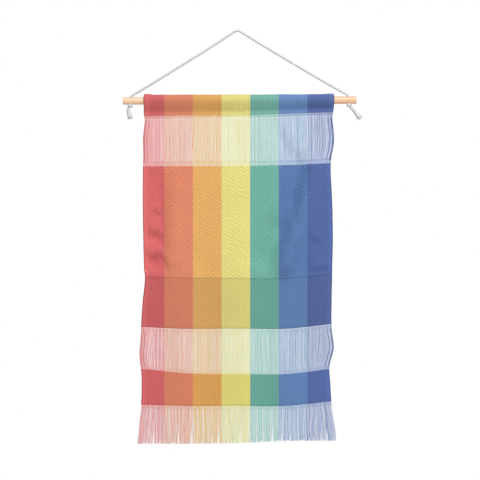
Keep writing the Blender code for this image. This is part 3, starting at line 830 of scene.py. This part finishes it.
def plain_finish(name, kind, weave):
    """Plain weave: fine upright ribs broken by rows, in the pocket crossed by small diamonds."""
    finish = Finish(name, roughness=0.9, sheen=0.05, sheen_roughness=0.5)
    place, x, drop, shadow = finish.flat()
    wander = finish.noise(place, 0.03) * 3.0
    ribs = (x + wander).wave(PLAIN_RIB) * finish.patchy(place, 0.12, 0.1, 1.4, (1.0, 0.5, 1.0))
    rows = (drop + wander).wave(PLAIN_ROW)
    if weave.diamonds:
        rise = drop * DIAMOND_RISE
        rows = (x + rise).wave(PLAIN_RIB) + (x - rise).wave(PLAIN_RIB)
    rows = rows * finish.patchy(place, 0.035, 0.1, 1.0)
    small = x.wave(SMALL_CHECK) + drop.wave(SMALL_CHECK)
    small = small * finish.patchy(place, 0.09, 0.2, 1.4, (1.0, 1.0, 0.0))
    cloud = finish.patchy(place, 0.025, 0.98, 1.02)
    flecks = finish.patchy(place, 0.5, 0.95, 1.05)
    relief = (ribs * weave.ribs + 1.0, rows * weave.rows + 1.0, small * weave.check + 1.0)
    finish.paint_cloth(x, shadow, kind, (*relief, cloud, flecks))
    height = x.wave(WARP_PITCH) * drop.wave(WEFT_PITCH) * 0.4 + ribs * 0.6 + rows * 0.4
    finish.bump(height, WEAVE_BUMP, WEAVE_HEIGHT)
    return finish.material


def warp_finish(name, kind, pale, lively=1.0):
    """Loose yarn: its stripe's colour, greyer in fine streaks, as deep as the twill where it is dense."""
    finish = Finish(name, roughness=0.85, sheen=0.10, sheen_roughness=0.4)
    place, x, _, tone = finish.flat()
    mixed = tone * 0.35 + finish.noise(place, 1.0, stretch=(0.9, 0.06, 0.0)) * 0.10
    share = mixed.rescale(0.18 - 0.29 / lively, 0.18 + 0.29 / lively, 0.0, pale)
    colour = finish.blend(share, finish.stripes(x, kind), YARN_GREY)
    colour = finish.shade(colour, tone.rescale(YARN_DEEP, 1.0, -1.0, 1.0) * (0.09 * lively) + 1.0)
    dense = tone.rescale(0.0, -1.0, 0.0, 1.0)
    finish.paint(finish.blend(dense, colour, finish.stripes(x, "twill")))
    finish.bump(finish.noise(place, 1.0, stretch=(1.0, 2.5, 30.0)), 0.3, 0.0002)
    return finish.material


def rope_finish(name, deep, light):
    """White cotton: fine fibres along each strand, with painted shade on the side away from the light."""
    finish = Finish(name, roughness=0.92, sheen=0.1)
    _, _, travelled, under = finish.flat()
    where = finish.add("ShaderNodeTexCoord").outputs["Object"]
    fibres = finish.noise(where, 1.0, 3.0, (1200.0, 1200.0, 500.0))
    share = (finish.noise(where, 90.0) + fibres * 0.6).rescale(0.5, 1.1, 0.0, 1.0)
    colour = finish.blend(share, (deep, deep, deep * 0.985, 1.0), (light, light, light * 0.99, 1.0))
    finish.paint(finish.blend(under, colour, COTTON_SHADE))
    finish.bump(fibres + travelled.wave(1.3) * 0.25, 0.45, 0.0003)
    return finish.material


def wood_finish():
    """Pale smooth wood: long grain lines, rings on the sawn ends and a soft satin."""
    finish = Finish("pale_wood", roughness=0.38, specular=0.5, coat=1.0, coat_roughness=0.31, coat_index=1.9)
    where = finish.add("ShaderNodeTexCoord").outputs["Object"]
    inputs = {"Vector": where, "Location": (0.0, 0.017, 0.128)}
    from_heart = finish.add("ShaderNodeMapping", inputs).outputs["Vector"]
    inputs = {"Vector": from_heart, "Scale": 130.0, "Distortion": 2.0, "Detail": 1.0, "Detail Scale": 0.2}
    settings = {"wave_type": "RINGS", "rings_direction": "X", "wave_profile": "SAW"}
    rings = Value(finish, finish.add("ShaderNodeTexWave", inputs, **settings).outputs["Fac"])
    bent = finish.noise(where, 1.0, stretch=(6.0, 90.0, 90.0))
    pores = finish.noise(where, 1.0, 3.0, (40.0, 2200.0, 2200.0))
    across, _, _ = finish.split(where)
    colour = finish.blend(rings * 0.40 + bent * 0.35 + across * 1.5, WOOD_LIGHT, WOOD_DARK)
    finish.paint(finish.blend(pores.rescale(0.58, 0.78, 0.0, 0.2), colour, WOOD_PORES))
    finish.bump(pores, 0.12, 0.0002)
    return finish.material


# Cord and knots
def cord_path():
    return even_path([(x, 0.0, z) for x, z in CORD_ROUTE], CORD_STEP)


def make_cord():
    """The twisted cord along its route, with a slight sag in both halves."""
    path = cord_path()
    reach = np.abs(path[:, 0]) / np.abs(path[:, 0]).max()
    path[:, 2] -= CORD_SAG * (1.0 - np.abs(2.0 * reach - 1.0) ** 3)
    rope = twisted_rope(path, np.full(len(path), CORD_DIAMETER / 2), CORD_PITCH, rounded=False)
    cord = make_piece("cord", *rope, rope_finish("white_cotton", 0.69, 0.80))
    return dress(cord, "hanger_cord")


def knot_path(hole_x, start_z, turns, tail):
    """The cord down from the hole, round in a tight coil that leans forward, and into its tail."""
    middle = np.array((hole_x, 0.0, -axis_drop(hole_x) - ROD_RADIUS - KNOT_DEPTH))
    points = [(hole_x, 0.0, start_z - 0.2)]
    steps = int(12 * turns.count)
    for k in range(steps + 1):
        share = k / steps
        angle = turns.side * (math.pi * 0.5 + 2 * math.pi * turns.count * share)
        around = np.array((math.cos(angle), math.sin(angle), 0.0)) * KNOT_TURN_RADIUS
        drop = turns.top - turns.rise * share + turns.lean * (-around[1] / KNOT_TURN_RADIUS) * (1 - share)
        points.append(middle + around + np.array((0.0, 0.0, drop)))
    points += [(row.x, TAIL_Y, -row.drop) for row in tail[1:]]
    return even_path(points, KNOT_STEP)


def tail_radii(path, tail):
    """The cord's radius along a knot's path: even in its turns, then the tail's own."""
    in_tail = curve_through([row.drop for row in tail], [row.radius for row in tail], -path[:, 2])
    below = ramp((-path[:, 2] - tail[1].drop + 2.0) / 3.0)
    near_end = np.arange(len(path)) > len(path) // 2
    radii = KNOT_CORD_RADIUS * (1 - below) + TAIL_SWELL * in_tail * below
    return np.where(near_end, radii, KNOT_CORD_RADIUS)


def fray(path, radius, seed):
    """Loose cotton hairs that fan out of a cut end."""
    chance = np.random.default_rng(seed)
    along, one, two = (part[-1] for part in travelling_frames(path))
    hairs = []
    for _ in range(FRAY_HAIRS):
        angle = chance.uniform(0, 2 * math.pi)
        out = chance.uniform(0.1, 0.95) * radius
        spread = (math.cos(angle) * one + math.sin(angle) * two) * out
        root = path[-1] + spread * 0.85 - along * 2.0
        tip = path[-1] + spread * chance.uniform(1.0, 1.35) + along * chance.uniform(0.2, 2.0)
        bend = (root + tip) / 2 + chance.uniform(-0.3, 0.3, 3)
        hair = even_path((root, bend, tip), 0.9)
        points, faces = round_tube(hair, np.linspace(0.22, 0.12, len(hair)), 4)
        hairs.append((points, faces, np.zeros_like(points)))
    return joined(hairs)


def make_knot(name, node, place, turns, tail, material):
    """One knot with its free tail, looser towards the cut end."""
    path = knot_path(*place, turns, tail)
    radii = tail_radii(path, tail)
    left = len(path) - np.arange(len(path))
    rope = twisted_rope(path, radii, KNOT_PITCH, 1.0 + 0.25 * ramp(1.0 - left / 12.0))
    hairs = fray(path, radii[-1], abs(int(place[0])))
    return dress(make_piece(name, *joined((rope, hairs)), material), node)


def make_cord_and_knots():
    cord = make_cord()
    cotton = rope_finish("knotted_cotton", 0.68, 0.82)
    left = make_knot("left_knot", "knot_left", CORD_ROUTE[0], LEFT_TURNS, LEFT_TAIL, cotton)
    right = make_knot("right_knot", "knot_right", CORD_ROUTE[-1], RIGHT_TURNS, RIGHT_TAIL, cotton)
    path = cord_path() * MM


# Rod
def make_rod():
    """The dowel: a hair uneven along its length, with eased ends and both cord holes."""
    half = ROD_LENGTH / 2
    ends = -half + np.array((0.0, 0.12, 0.32, 0.6))
    inner = np.linspace(-half + 3.0, half - 3.0, ROD_STEPS)
    along = np.concatenate((ends, inner, -ends[::-1]))
    from_end = half - np.abs(along)
    radius = ROD_RADIUS - ROD_CHAMFER * (1 - np.sqrt(np.clip(1 - (1 - from_end / ROD_CHAMFER) ** 2, 0, 1)))
    radius = np.where(from_end > ROD_CHAMFER, ROD_RADIUS, radius)
    radius = radius - ROD_UNEVEN * (0.5 + 0.5 * soft_noise(along / 30.0, 0.0, 21))
    cosines, sines = circle(ROD_SIDES)
    rings = stacked(along[:, None], radius[:, None] * cosines, radius[:, None] * sines)
    turn = np.array(Matrix.Rotation(-math.atan2(ROD_RISE, ROD_LENGTH), 3, "Y"))
    points = rings.reshape(-1, 3) @ turn.T + np.array((ROD_MIDDLE_X, 0.0, -ROD_DROP))
    rod = make_piece("dowel", points, tube_faces(len(along), ROD_SIDES), points, wood_finish())
    face_outwards(rod)
    for side in (-1, 1):
        drill(rod, ROD_MIDDLE_X + side * (half - HOLE_INSET))
    return dress(rod, "rod")


def drill(rod, x):
    """Cut one upright cord hole and keep the result as plain mesh."""
    bpy.ops.mesh.primitive_cylinder_add(
        vertices=HOLE_SIDES, radius=HOLE_RADIUS * MM, depth=4 * ROD_RADIUS * MM,
        location=(x * MM, 0.0, -axis_drop(x) * MM))
    cutter = bpy.context.object
    cut = rod.modifiers.new("cord hole", "BOOLEAN")
    cut.operation = "DIFFERENCE"
    cut.object = cutter
    bpy.context.view_layer.objects.active = rod
    bpy.ops.object.modifier_apply(modifier=cut.name)
    bpy.data.objects.remove(cutter, do_unlink=True)
    rod.data.set_sharp_from_angle(angle=math.radians(40))


# Woven cloth
def sheet_columns():
    """Rest places of the columns of a sheet: even, but closer together at both folded edges."""
    middle = spaced(REST_LEFT + COLUMNS_INSET, REST_RIGHT - COLUMNS_INSET, COLUMN_STEP)
    return np.concatenate((REST_LEFT + EDGE_COLUMNS, middle, REST_RIGHT - EDGE_COLUMNS[::-1]))


def sheet_rows(lines):
    """Rows of a sheet between lines: the section each starts in, and how far down it is there."""
    rows = []
    for section, (top, bottom) in enumerate(zip(lines[:-1], lines[1:])):
        shares = spaced(0.0, 1.0, ROW_STEP / (bottom[2] - top[2]))
        rows += [(section, share) for share in shares[:-1]]
    rim = CUT_RIM / (lines[-1][2] - lines[-2][2])
    rows.insert(1, (0, rim))
    return rows + [(section, 1.0 - rim), (section, 1.0)]


def make_woven(name, front, back, flat, materials, sections):
    """A closed sheet of the cloth from both its sides. sections gives each row of faces its weave."""
    points, faces = slab(stacked(*front), stacked(*back))
    flat = stacked(*flat)
    across = flat.shape[1] - 1
    both = np.concatenate((flat, flat)).reshape(-1, 3)
    made = make_piece(name, points, faces, both, materials[0])
    for material in materials[1:]:
        made.data.materials.append(material)
    sides = np.tile(np.repeat(sections, across), 2)
    rims = (np.full(across, sections[0]), np.full(across, sections[-1]), np.tile(sections, 2))
    weave = np.concatenate((sides, *rims)).astype(np.int32)
    made.data.polygons.foreach_set("material_index", weave)
    face_outwards(made)
    return dress(made)


def make_sheet(name, lines, materials, thread):
    """A woven part of the cloth between its top and bottom lines, with its folded hems."""
    rest = sheet_columns()
    rows = sheet_rows(lines)
    distance = from_edge(rest)[None, :]
    placed = []
    for section, share in rows:
        top, bottom = lines[section:section + 2]
        placed.append(settle(rest, lambda at: between(top, bottom, share, at)))
    x, drop = (np.array(part) for part in zip(*placed))
    middle = hang(x, drop) - WOVEN / 2 + crease_depth(SHEET_CREASES, x, drop) + seam_dip(x, drop)
    ends = np.ones(len(rows))
    ends[[0, -1]] = CUT_THINNING
    half = SHEET / 2 * edge_round(distance) * ends[:, None]
    hem = hem_share(distance) * edge_round(distance)
    front = middle - half - HEM_RAISE * hem + hem_groove(distance) + hem_ripple(distance, drop)
    back = middle + half + HEM_BACK * hem - 0.5 * hem_groove(distance)
    sew_hems(name + "_stitches", x, front, drop, rest, thread)
    sections = np.array([section for section, _ in rows])[:-1]
    flat = (rest[None, :], drop, line_shadow(x, drop, distance, lines[-1]))
    return make_woven(name, (x, front, -drop), (x, back, -drop), flat, materials, sections)


def line_shadow(x, drop, distance, bottom):
    """Painted shade where the cloth is drawn in: at the weave change, a cut end, the hem's stitch line and
    both folded edges.
    """
    change = 0.75 * bell((drop - line_drop(WEAVE_CHANGE, x)) / 0.8)
    end = ramp((drop - line_drop(bottom, x) + 2.8) / 1.8) * 0.36
    # Painted shade in the groove of the hem's stitch line
    sewn = 0.35 * bell((distance - HEM_STITCH) / 0.9)
    return np.maximum(np.maximum(change, end), np.maximum(fold_shadow(distance), sewn))


# Painted shade along a folded edge
def fold_shadow(distance):
    return ramp((1.9 - distance) / 1.0)


def make_stitches(name, x, y, drop, rest, upright, material):
    """A row of short stitches, each a small arch with both ends sunk into the cloth."""
    x, y, drop, rest = (part[:, None] for part in (x, y - STITCH_RADIUS * 0.5, drop, rest))
    along = STITCH_SHARES * STITCH_LENGTH
    across, down = (0.0, along) if upright else (along, 0.0)
    centres = (x + across, y + STITCH_SINK * STITCH_SHARES ** 2, -drop - down)
    thick = STITCH_RADIUS * STITCH_SWELL + 0.0 * x
    flat = (rest, drop, np.full(thick.shape, STITCH_TONE))
    made = make_piece(name, *threads(centres, thick, flat, STITCH_SIDES, upright), material)
    face_outwards(made)
    return dress(made)


def sew_hems(name, x, front, drop, rest, material):
    """Stitch both side hems of a sheet, along the groove that the thread draws in."""
    parts = []
    for place in (REST_LEFT + HEM_STITCH, REST_RIGHT - HEM_STITCH):
        column = int(np.argmin(np.abs(rest - place)))
        at = np.arange(drop[0, column] + STITCH_PITCH / 2, drop[-1, column] - 1.0, STITCH_PITCH)
        across, surface = (np.interp(at, drop[:, column], part[:, column]) for part in (x, front))
        parts.append((across, surface, at, np.full(len(at), rest[column])))
    return make_stitches(name, *(np.concatenate(part) for part in zip(*parts)), True, material)


def sew_pocket(x, outer_y, outer_drop, rest, material):
    """Stitch the pocket's front to its back, above its lower edge."""
    at = np.arange(REST_LEFT + 3.0, REST_RIGHT - 3.0, SEAM_PITCH)
    target = SEAM_STITCH - line_drop(SEAM, x[0])
    found = []
    for values in (x, outer_y, outer_drop):
        pairs = zip(target, -outer_drop[:SEAM_POINTS].T, values[:SEAM_POINTS].T)
        found.append(np.interp(at, rest, [np.interp(*pair) for pair in pairs]))
    return make_stitches("pocket_stitches", *found, at, False, material)


# Pocket
def pocket_middle(x, corner):
    """The middle of the pocket's cloth in one column: from the front seam over the rod to the back seam."""
    half = WOVEN / 2
    seam = line_drop(SEAM, x) - axis_drop(x)
    depth = seam - SEAM_HEIGHT
    side = ROD_RADIUS + POCKET_SIDE_GAP + half
    top = POCKET_TOP - half - POCKET_CORNER_DROP * corner
    touch = math.acos(side / depth)
    run_y = half - side * math.sin(touch)
    run_z = depth - side * math.cos(touch)
    corners = [(-half, -seam), (-half, -depth)]
    for share in np.linspace(0.0, 1.0, 8)[1:-1]:
        corners.append((-half + run_y * share, -depth + run_z * share))
    for share in np.linspace(0.0, 1.0, 40):
        angle = touch + 2 * (math.pi - touch) * share
        radius = side + (top - side) * max(0.0, -math.cos(angle))
        corners.append((-radius * math.sin(angle), -radius * math.cos(angle)))
    corners += [(-y, z) for y, z in corners[7:0:-1]]
    corners.append((half, -seam))
    corners = np.array(corners)
    places = way_along(corners)
    at = np.linspace(0.0, places[-1], POCKET_POINTS)
    path = stacked(*(np.interp(at, places, line) for line in corners.T))
    for _ in range(3):
        path[1:-1] = (path[:-2] + 2 * path[1:-1] + path[2:]) / 4
    return path, at


def pocket_wave(x):
    """How much the pocket's top stands up or down along the rod."""
    hump = np.where(x < 0, 1.2, 0.7) * ramp((np.abs(x) - 143.0) / 9.0)
    return 0.2 + hump + 0.25 * soft_noise(x / 35.0, 0.0, 31)


def pocket_hollow_shade(x, drop):
    """Painted shade on the pocket under the rod, where it is drawn in: more so towards both ends."""
    middle = axis_drop(x) + 12.5 + 1.2 * soft_noise(x / 30.0, 0.0, 35)
    strength = 0.15 + 0.20 * (x / 160.0) ** 2 + 0.08 * soft_noise(x / 22.0, 0.0, 36)
    reach = np.where(drop > middle, 8.0, 5.0)
    return strength * bell((drop - middle) / reach)


def pocket_relief(x, drop, front_side):
    """How far the pocket's outside stands out: creases, puckers, the stitched line and the flared lip."""
    above = line_drop(SEAM, x) - drop
    relief = -crease_depth(POCKET_CREASES, x, drop) * front_side
    pucker = ramp(1.0 - (above - SEAM_HEIGHT) / 10.0)
    relief = relief + 0.22 * pucker * soft_noise(x / 3.1, drop / 9.0, 32)
    relief = relief + 0.18 * soft_noise(x / 16.0, drop / 8.0, 33)
    relief = relief - 0.20 * bell((above - SEAM_STITCH) / 0.7)
    lip = np.clip(1.0 - above / LIP_HEIGHT, 0.0, 1.0)
    return relief + LIP_FLARE * lip * lip * front_side


def make_pocket(material, thread):
    """The pocket over the rod, sewn down along its lower edge."""
    rest = sheet_columns()
    distance = from_edge(rest)
    corner = 1.0 - edge_round(np.minimum(distance / 2.2, EDGE_ROUND))
    paths, travelled = zip(*(pocket_middle(x, c) for x, c in zip(rest, corner)))
    path = np.array(paths).transpose(1, 0, 2)
    along = np.gradient(path, axis=0)
    along /= np.linalg.norm(along, axis=2)[:, :, None]
    normal_y, normal_z = -along[:, :, 1], along[:, :, 0]
    y, z = path[:, :, 0], path[:, :, 1]
    drop = axis_drop(rest)[None, :] - z
    x = place_x(rest[None, :], drop)
    front_side = ramp(0.5 - y / 4.0)
    half = SHEET / 2 * edge_round(distance)[None, :]
    hem = (hem_share(distance) * edge_round(distance))[None, :]
    out = half + hem * 0.25 - hem_groove(distance)[None, :] * 0.8 + pocket_relief(x, drop, front_side)
    into = half + hem * 0.7 * ramp((z + 4.0) / 6.0)
    lift = pocket_wave(x) * ramp((z + 1.0) / 8.0)
    outer_y = y + normal_y * out
    outer_drop = drop - normal_z * out - lift
    inner_drop = drop + normal_z * into - lift
    sew_pocket(x, outer_y, outer_drop, rest, thread)
    flat_drop = line_drop(SEAM, rest)[None, :] - np.array(travelled).T
    shadow = np.maximum(fold_shadow(distance)[None, :], pocket_hollow_shade(x, drop) * front_side)
    inner = (x, y - normal_y * into, -inner_drop)
    sections = np.zeros(POCKET_POINTS - 1)
    flat = (rest[None, :], flat_drop, shadow)
    return make_woven("pocket", (x, outer_y, -outer_drop), inner, flat, (material,), sections)


# Bare warp
# For each bunch: its side, its edge, where the lines are read and its place on the flat cloth
BUNCHES = ((-1, left_edge, -160.0, REST_LEFT + 3.0), (1, right_edge, 158.0, REST_RIGHT - 3.0))


def clumps_of(rest, chance):
    """Gather threads into clumps of a few: the middle, pull, sway and phase of each thread's clump."""
    clumps = np.empty((len(rest), 4))
    start = 0
    while start < len(rest):
        stop = min(start + int(chance.integers(2, 8)), len(rest))
        pull = chance.uniform(0.0, CLUMP_PULL)
        sway = chance.uniform(-CLUMP_WANDER, CLUMP_WANDER)
        phase = chance.uniform(0, 2 * math.pi)
        clumps[start:stop] = (rest[start:stop].mean(), pull, sway, phase)
        start = stop
    return clumps


def group_pull(rest, offset, pinches):
    """Threads tied into even groups of a few near each row of stitching."""
    pitch = CLOTH_WIDTH / WARP_THREADS
    index = (rest - REST_LEFT) / pitch
    middle = REST_LEFT + (np.floor(index / GROUP) + 0.5) * GROUP * pitch
    shift = np.zeros(np.broadcast(rest, offset).shape)
    for pinch in pinches:
        shift = shift + pinch.pull * bell((offset - pinch.offset) / pinch.reach) * (middle - rest)
    return shift


def streaks(rest, drop, seed):
    """A tone along each thread, 1 where it is palest: fine streaks that wander and fade in and out."""
    chance = np.random.default_rng(seed)
    fine = chance.normal(0.0, 1.0, WARP_THREADS + 2 * STREAK_MARGIN)
    fine = fine - 0.9 * np.convolve(fine, np.full(5, 0.2), "same")
    fine /= fine.std()
    thread = (rest - REST_LEFT) / CLOTH_WIDTH * WARP_THREADS + STREAK_MARGIN
    thread = thread + STREAK_WANDER * soft_noise(rest / 22.0, drop / 24.0, seed + 1)
    strength = YARN_CHANGE * (1.0 + 0.7 * soft_noise(rest / 7.0, drop / 16.0, seed + 2))
    tone = YARN_MIDDLE + strength * np.interp(thread, np.arange(len(fine)), fine)
    return np.clip(tone + chance.uniform(-0.3, 0.3, rest.shape), YARN_DEEP, 1.0)


def yarn_tone(tone, offset, places):
    """The tone, but near a woven edge below 0, by the share by which a thread is deeper there."""
    dense = np.zeros(offset.shape)
    for place in places:
        dense = dense + place.share * bell((offset - place.offset) / place.reach)
    return np.where(dense > 0.03, np.minimum(tone * 0.1 - dense, tone), tone)


def warp_layers(chance):
    """Rest places of the warp threads, and how far back each lies."""
    layers = []
    for layer in LAYERS:
        pitch = (CLOTH_WIDTH - 1.0) / layer.count
        rest = REST_LEFT + 0.5 + (np.arange(layer.count) + 0.5) * pitch
        rest = rest + chance.uniform(-layer.jitter, layer.jitter, layer.count)
        rest = np.clip(rest, REST_LEFT + 0.4, REST_RIGHT - 0.4)
        layers.append((rest, np.full(layer.count, layer.setback)))
    return (np.concatenate(part)[:, None] for part in zip(*layers))


def loose_threads(rest, drop, loose, x, chance, seed):
    """Bare threads as they hang, in clumps and with bends of their own: x, depth and radius."""
    order = np.argsort(rest[:, 0])
    clumps = np.empty((len(rest), 4))
    clumps[order] = clumps_of(rest[order, 0], chance)
    centre, pull, wander, phase = clumps.T[:, :, None]
    lane = chance.uniform(0, NOISE_CELLS, rest.shape)
    own = 0.16 * soft_noise(lane, drop / 24.0, seed + 1) + 0.10 * soft_noise(lane, drop / 9.0, seed + 2)
    sway = wander * np.sin(drop / 17.0 + phase)
    x = x + loose * (pull * (centre - rest) + sway + own)
    bulge = 0.10 * soft_noise(lane + 7.3, drop / 20.0, seed + 3)
    depth = loose * (bulge + chance.uniform(-0.08, 0.08, rest.shape))
    radii = WARP_RADIUS * (1.0 + 0.10 * soft_noise(lane + 3.1, drop / 6.0, seed + 4))
    return x, depth, radii


def both_ends(share, reach):
    """0 at both ends of a band's threads and 1 between them."""
    return ramp(share / reach) * ramp((1 - share) / reach)


def warp_band(band, material):
    """The bare warp threads between two woven parts."""
    chance = np.random.default_rng(band.seed)
    rest, setback = warp_layers(chance)
    share = spaced(0.0, 1.0, WARP_STEP / (band.bottom[2] - band.top[2]))[None, :]
    x, drop = settle(rest + np.zeros_like(share), lambda at: between(band.top, band.bottom, share, at))
    loose = both_ends(share, 0.16)
    x, depth, radii = loose_threads(rest, drop, loose, x, chance, band.seed)
    below = drop - line_drop(band.top, x)
    above = line_drop(band.bottom, x) - drop
    x = x + group_pull(rest, below, band.top_pinches) + group_pull(rest, above, band.low_pinches)
    y = hang(x, drop) - WOVEN / 2 + depth + setback * both_ends(share, 0.1)
    tone = streaks(rest, drop, band.seed + 6)
    tone = np.minimum(yarn_tone(tone, below, band.top_dense), yarn_tone(tone, above, band.low_dense))
    made = make_piece(band.name, *threads((x, y, -drop), radii, (rest, drop, tone)), material)
    return dress(made)


def edge_bunches(name, top, bottom, seed, material):
    """Hem threads drawn together into a dense cord along both side edges of a bare band."""
    chance = np.random.default_rng(seed)
    share = spaced(-0.02, 1.02, WARP_STEP / (bottom[2] - top[2]))[None, :]
    drawn = ramp(share / 0.18) * ramp((1 - share) / 0.12)
    bunches = []
    for side, edge, line_x, rest in BUNCHES:
        spot = chance.uniform(0, 1, (BUNCH_THREADS, 1))
        inner = np.interp(spot, (BUNCH_SHARE, 1.0), INNER_BUNCH)
        gathered = np.where(spot < BUNCH_SHARE, 0.4 + spot * BUNCH_WIDTH / BUNCH_SHARE, inner)
        drop = between(top, bottom, share, line_x)
        inward = gathered * drawn + spot * (HEM_WIDTH - 1.0) * (1 - drawn)
        wind = 0.2 * np.sin(2 * math.pi * (share * 3 + spot * 5))
        x = edge(drop) - side * (0.5 + inward + wind * drawn)
        y = hang(x, drop) - WOVEN / 2 + chance.uniform(-0.7, 0.7, spot.shape) * drawn + 0.3
        bunches.append(threads((x, y, -drop), np.full(x.shape, WARP_RADIUS), (rest, drop, spot)))
    return dress(make_piece(name, *joined(bunches), material))


def weft_rows(wefts, material):
    """Single weft threads near a woven edge, each over every group of warp threads and under the gaps."""
    chance = np.random.default_rng(wefts.seed)
    at = spaced(REST_LEFT + 1.5, REST_RIGHT - 1.5, WEFT_STEP)[None, :]
    pitch = GROUP * CLOTH_WIDTH / WARP_THREADS
    rows = []
    for row in wefts.rows:
        offset = row.offset + row.wave * soft_noise(at / 14.0, row.offset, wefts.seed)
        x, drop = settle(at, lambda here: line_drop(wefts.line, here) + wefts.direction * offset)
        over = np.cos(2 * math.pi * ((at - REST_LEFT) / pitch - 0.5 + row.phase))
        y = hang(x, drop) - WOVEN / 2 - WARP_RADIUS * 0.3 - row.dip * over
        radii = row.radius * (1 + 0.15 * soft_noise(at / 2.3, 0.0, wefts.seed + 5))
        tone = row.tone + chance.uniform(-0.05, 0.05, at.shape)
        rows.append(threads((x, y, -drop), radii, (at, drop, tone), upright=False))
    made = make_piece(wefts.name, *joined(rows), material)
    face_outwards(made)
    return dress(made)


def make_fringe(material):
    """The cut fringe: the warp threads run on, clump, part in places and flare at both sides."""
    chance = np.random.default_rng(FRINGE_SEED)
    rest, setback = warp_layers(chance)
    share = np.linspace(0.0, 1.0, FRINGE_STEPS)[None, :]
    _, start = settle(rest, lambda at: line_drop(CLOTH_END, at))
    end = line_drop(FRINGE_END, rest) - chance.uniform(0.0, 1.0, rest.shape) ** 2 * FRINGE_RAGGED
    drop = start + (end - start) * share
    place = place_x(rest, drop)
    x, depth, radii = loose_threads(rest, drop, ramp(share / 0.35), place, chance, FRINGE_SEED + 1)
    for part in PARTS:
        side = np.sign(rest - part.x)
        opened = ramp(1.0 - (FRINGE_END[2] - drop) / part.rise)
        x = x + side * part.width / 2 * opened * np.exp(-np.abs(rest - part.x) / PART_REACH)
    x = x + group_pull(rest, drop - start, FRINGE_PINCHES)
    y = hang(x, drop) - WOVEN / 2 + depth + setback * ramp(share / 0.1)
    tone = yarn_tone(streaks(rest, drop, FRINGE_SEED + 2), drop - start, FRINGE_DENSE)
    radii = radii * (1.0 - 0.25 * share ** 6)
    made = make_piece("fringe_threads", *threads((x, y, -drop), radii, (rest, drop, tone)), material)
    return dress(made, "fringe")


# Stage
def make_floor():
    bpy.ops.mesh.primitive_circle_add(
        vertices=FLOOR_SIDES, radius=FLOOR_RADIUS, fill_type="NGON", location=(0.0, 0.0, FLOOR_HEIGHT))
    floor = bpy.context.object
    floor.name = "floor"
    finish = Finish("floor", roughness=0.9)
    finish.paint(FLOOR_COLOUR)
    floor.data.materials.append(finish.material)


def make_light(name, place, size, power):
    lamp = bpy.data.lights.new(name, "AREA")
    lamp.shape = "DISK"
    lamp.size = size
    lamp.energy = power
    made = link(bpy.data.objects.new(name, lamp))
    made.location = place
    towards = Vector(LAMPS_AIM) - Vector(place)
    made.rotation_mode = "QUATERNION"
    made.rotation_quaternion = towards.to_track_quat("-Z", "Y")


def make_world():
    """Room light, strongest from the front and above, and pure white where the camera sees past it all."""
    world = bpy.data.worlds.new("studio")
    bpy.context.scene.world = world
    world.use_nodes = True
    world.node_tree.nodes.clear()
    nodes = Nodes(world.node_tree)
    _, depth, height = nodes.split(nodes.add("ShaderNodeTexCoord").outputs["Generated"])
    front = (depth * -1.0).maths("MAXIMUM")
    strength = height * ROOM_ABOVE + (front * ROOM_FRONT + ROOM_ALL)
    soft = nodes.add("ShaderNodeBackground", {0: WHITE, 1: strength})
    seen = nodes.add("ShaderNodeBackground", {0: WHITE, 1: 1.0})
    ray = nodes.add("ShaderNodeLightPath").outputs["Is Camera Ray"]
    mix = nodes.add("ShaderNodeMixShader", {0: ray, 1: soft.outputs[0], 2: seen.outputs[0]})
    nodes.add("ShaderNodeOutputWorld", {0: mix.outputs[0]})


def make_camera():
    lens = bpy.data.cameras.new("camera")
    lens.sensor_width = SENSOR
    lens.lens = SENSOR * CAMERA_DISTANCE / (PHOTO_SIDE * PIXEL)
    camera = link(bpy.data.objects.new("camera", lens))
    x = (PHOTO_SIDE / 2 - NAIL_PIXEL[0]) * PIXEL
    z = (NAIL_PIXEL[1] - PHOTO_SIDE / 2) * PIXEL
    camera.location = (x * MM, -CAMERA_DISTANCE * MM, z * MM)
    camera.rotation_euler = (math.pi / 2, 0.0, 0.0)
    bpy.context.scene.camera = camera


def make_stage():
    make_floor()
    make_world()
    for lamp in LAMPS:
        make_light(*lamp)
    bpy.context.scene.view_settings.view_transform = "Standard"


def make_cloth():
    dense = warp_finish("hem_warp", "twill", 0.20)
    pocket = make_pocket(plain_finish("pocket_weave", "pocket", POCKET_WEAVE), dense)
    weaves = (twill_finish(), plain_finish("plain_weave", "plain", PLAIN_WEAVE))
    body = make_sheet("body_cloth", (BAND_ONE_END, WEAVE_CHANGE, BAND_TWO_TOP), weaves, dense)
    weaves = (plain_finish("panel_weave", "panel", PLAIN_WEAVE),)
    panel = make_sheet("lower_panel", (BAND_TWO_END, CLOTH_END), weaves, dense)
    pale = warp_finish("bare_warp", "yarn", 0.80)
    for band in BANDS:
        warp_band(band, pale)
    edge_bunches("upper_edges", SEAM, BAND_ONE_END, 61, dense)
    edge_bunches("lower_edges", BAND_TWO_TOP, BAND_TWO_END, 62, dense)
    weft = warp_finish("bare_weft", "yarn", 0.95)
    for wefts in WEFTS:
        weft_rows(wefts, weft)
    make_fringe(warp_finish("fringe_warp", "yarn", 0.80, 1.7))


make_camera()
make_cord_and_knots()
make_rod()
make_cloth()
make_stage()
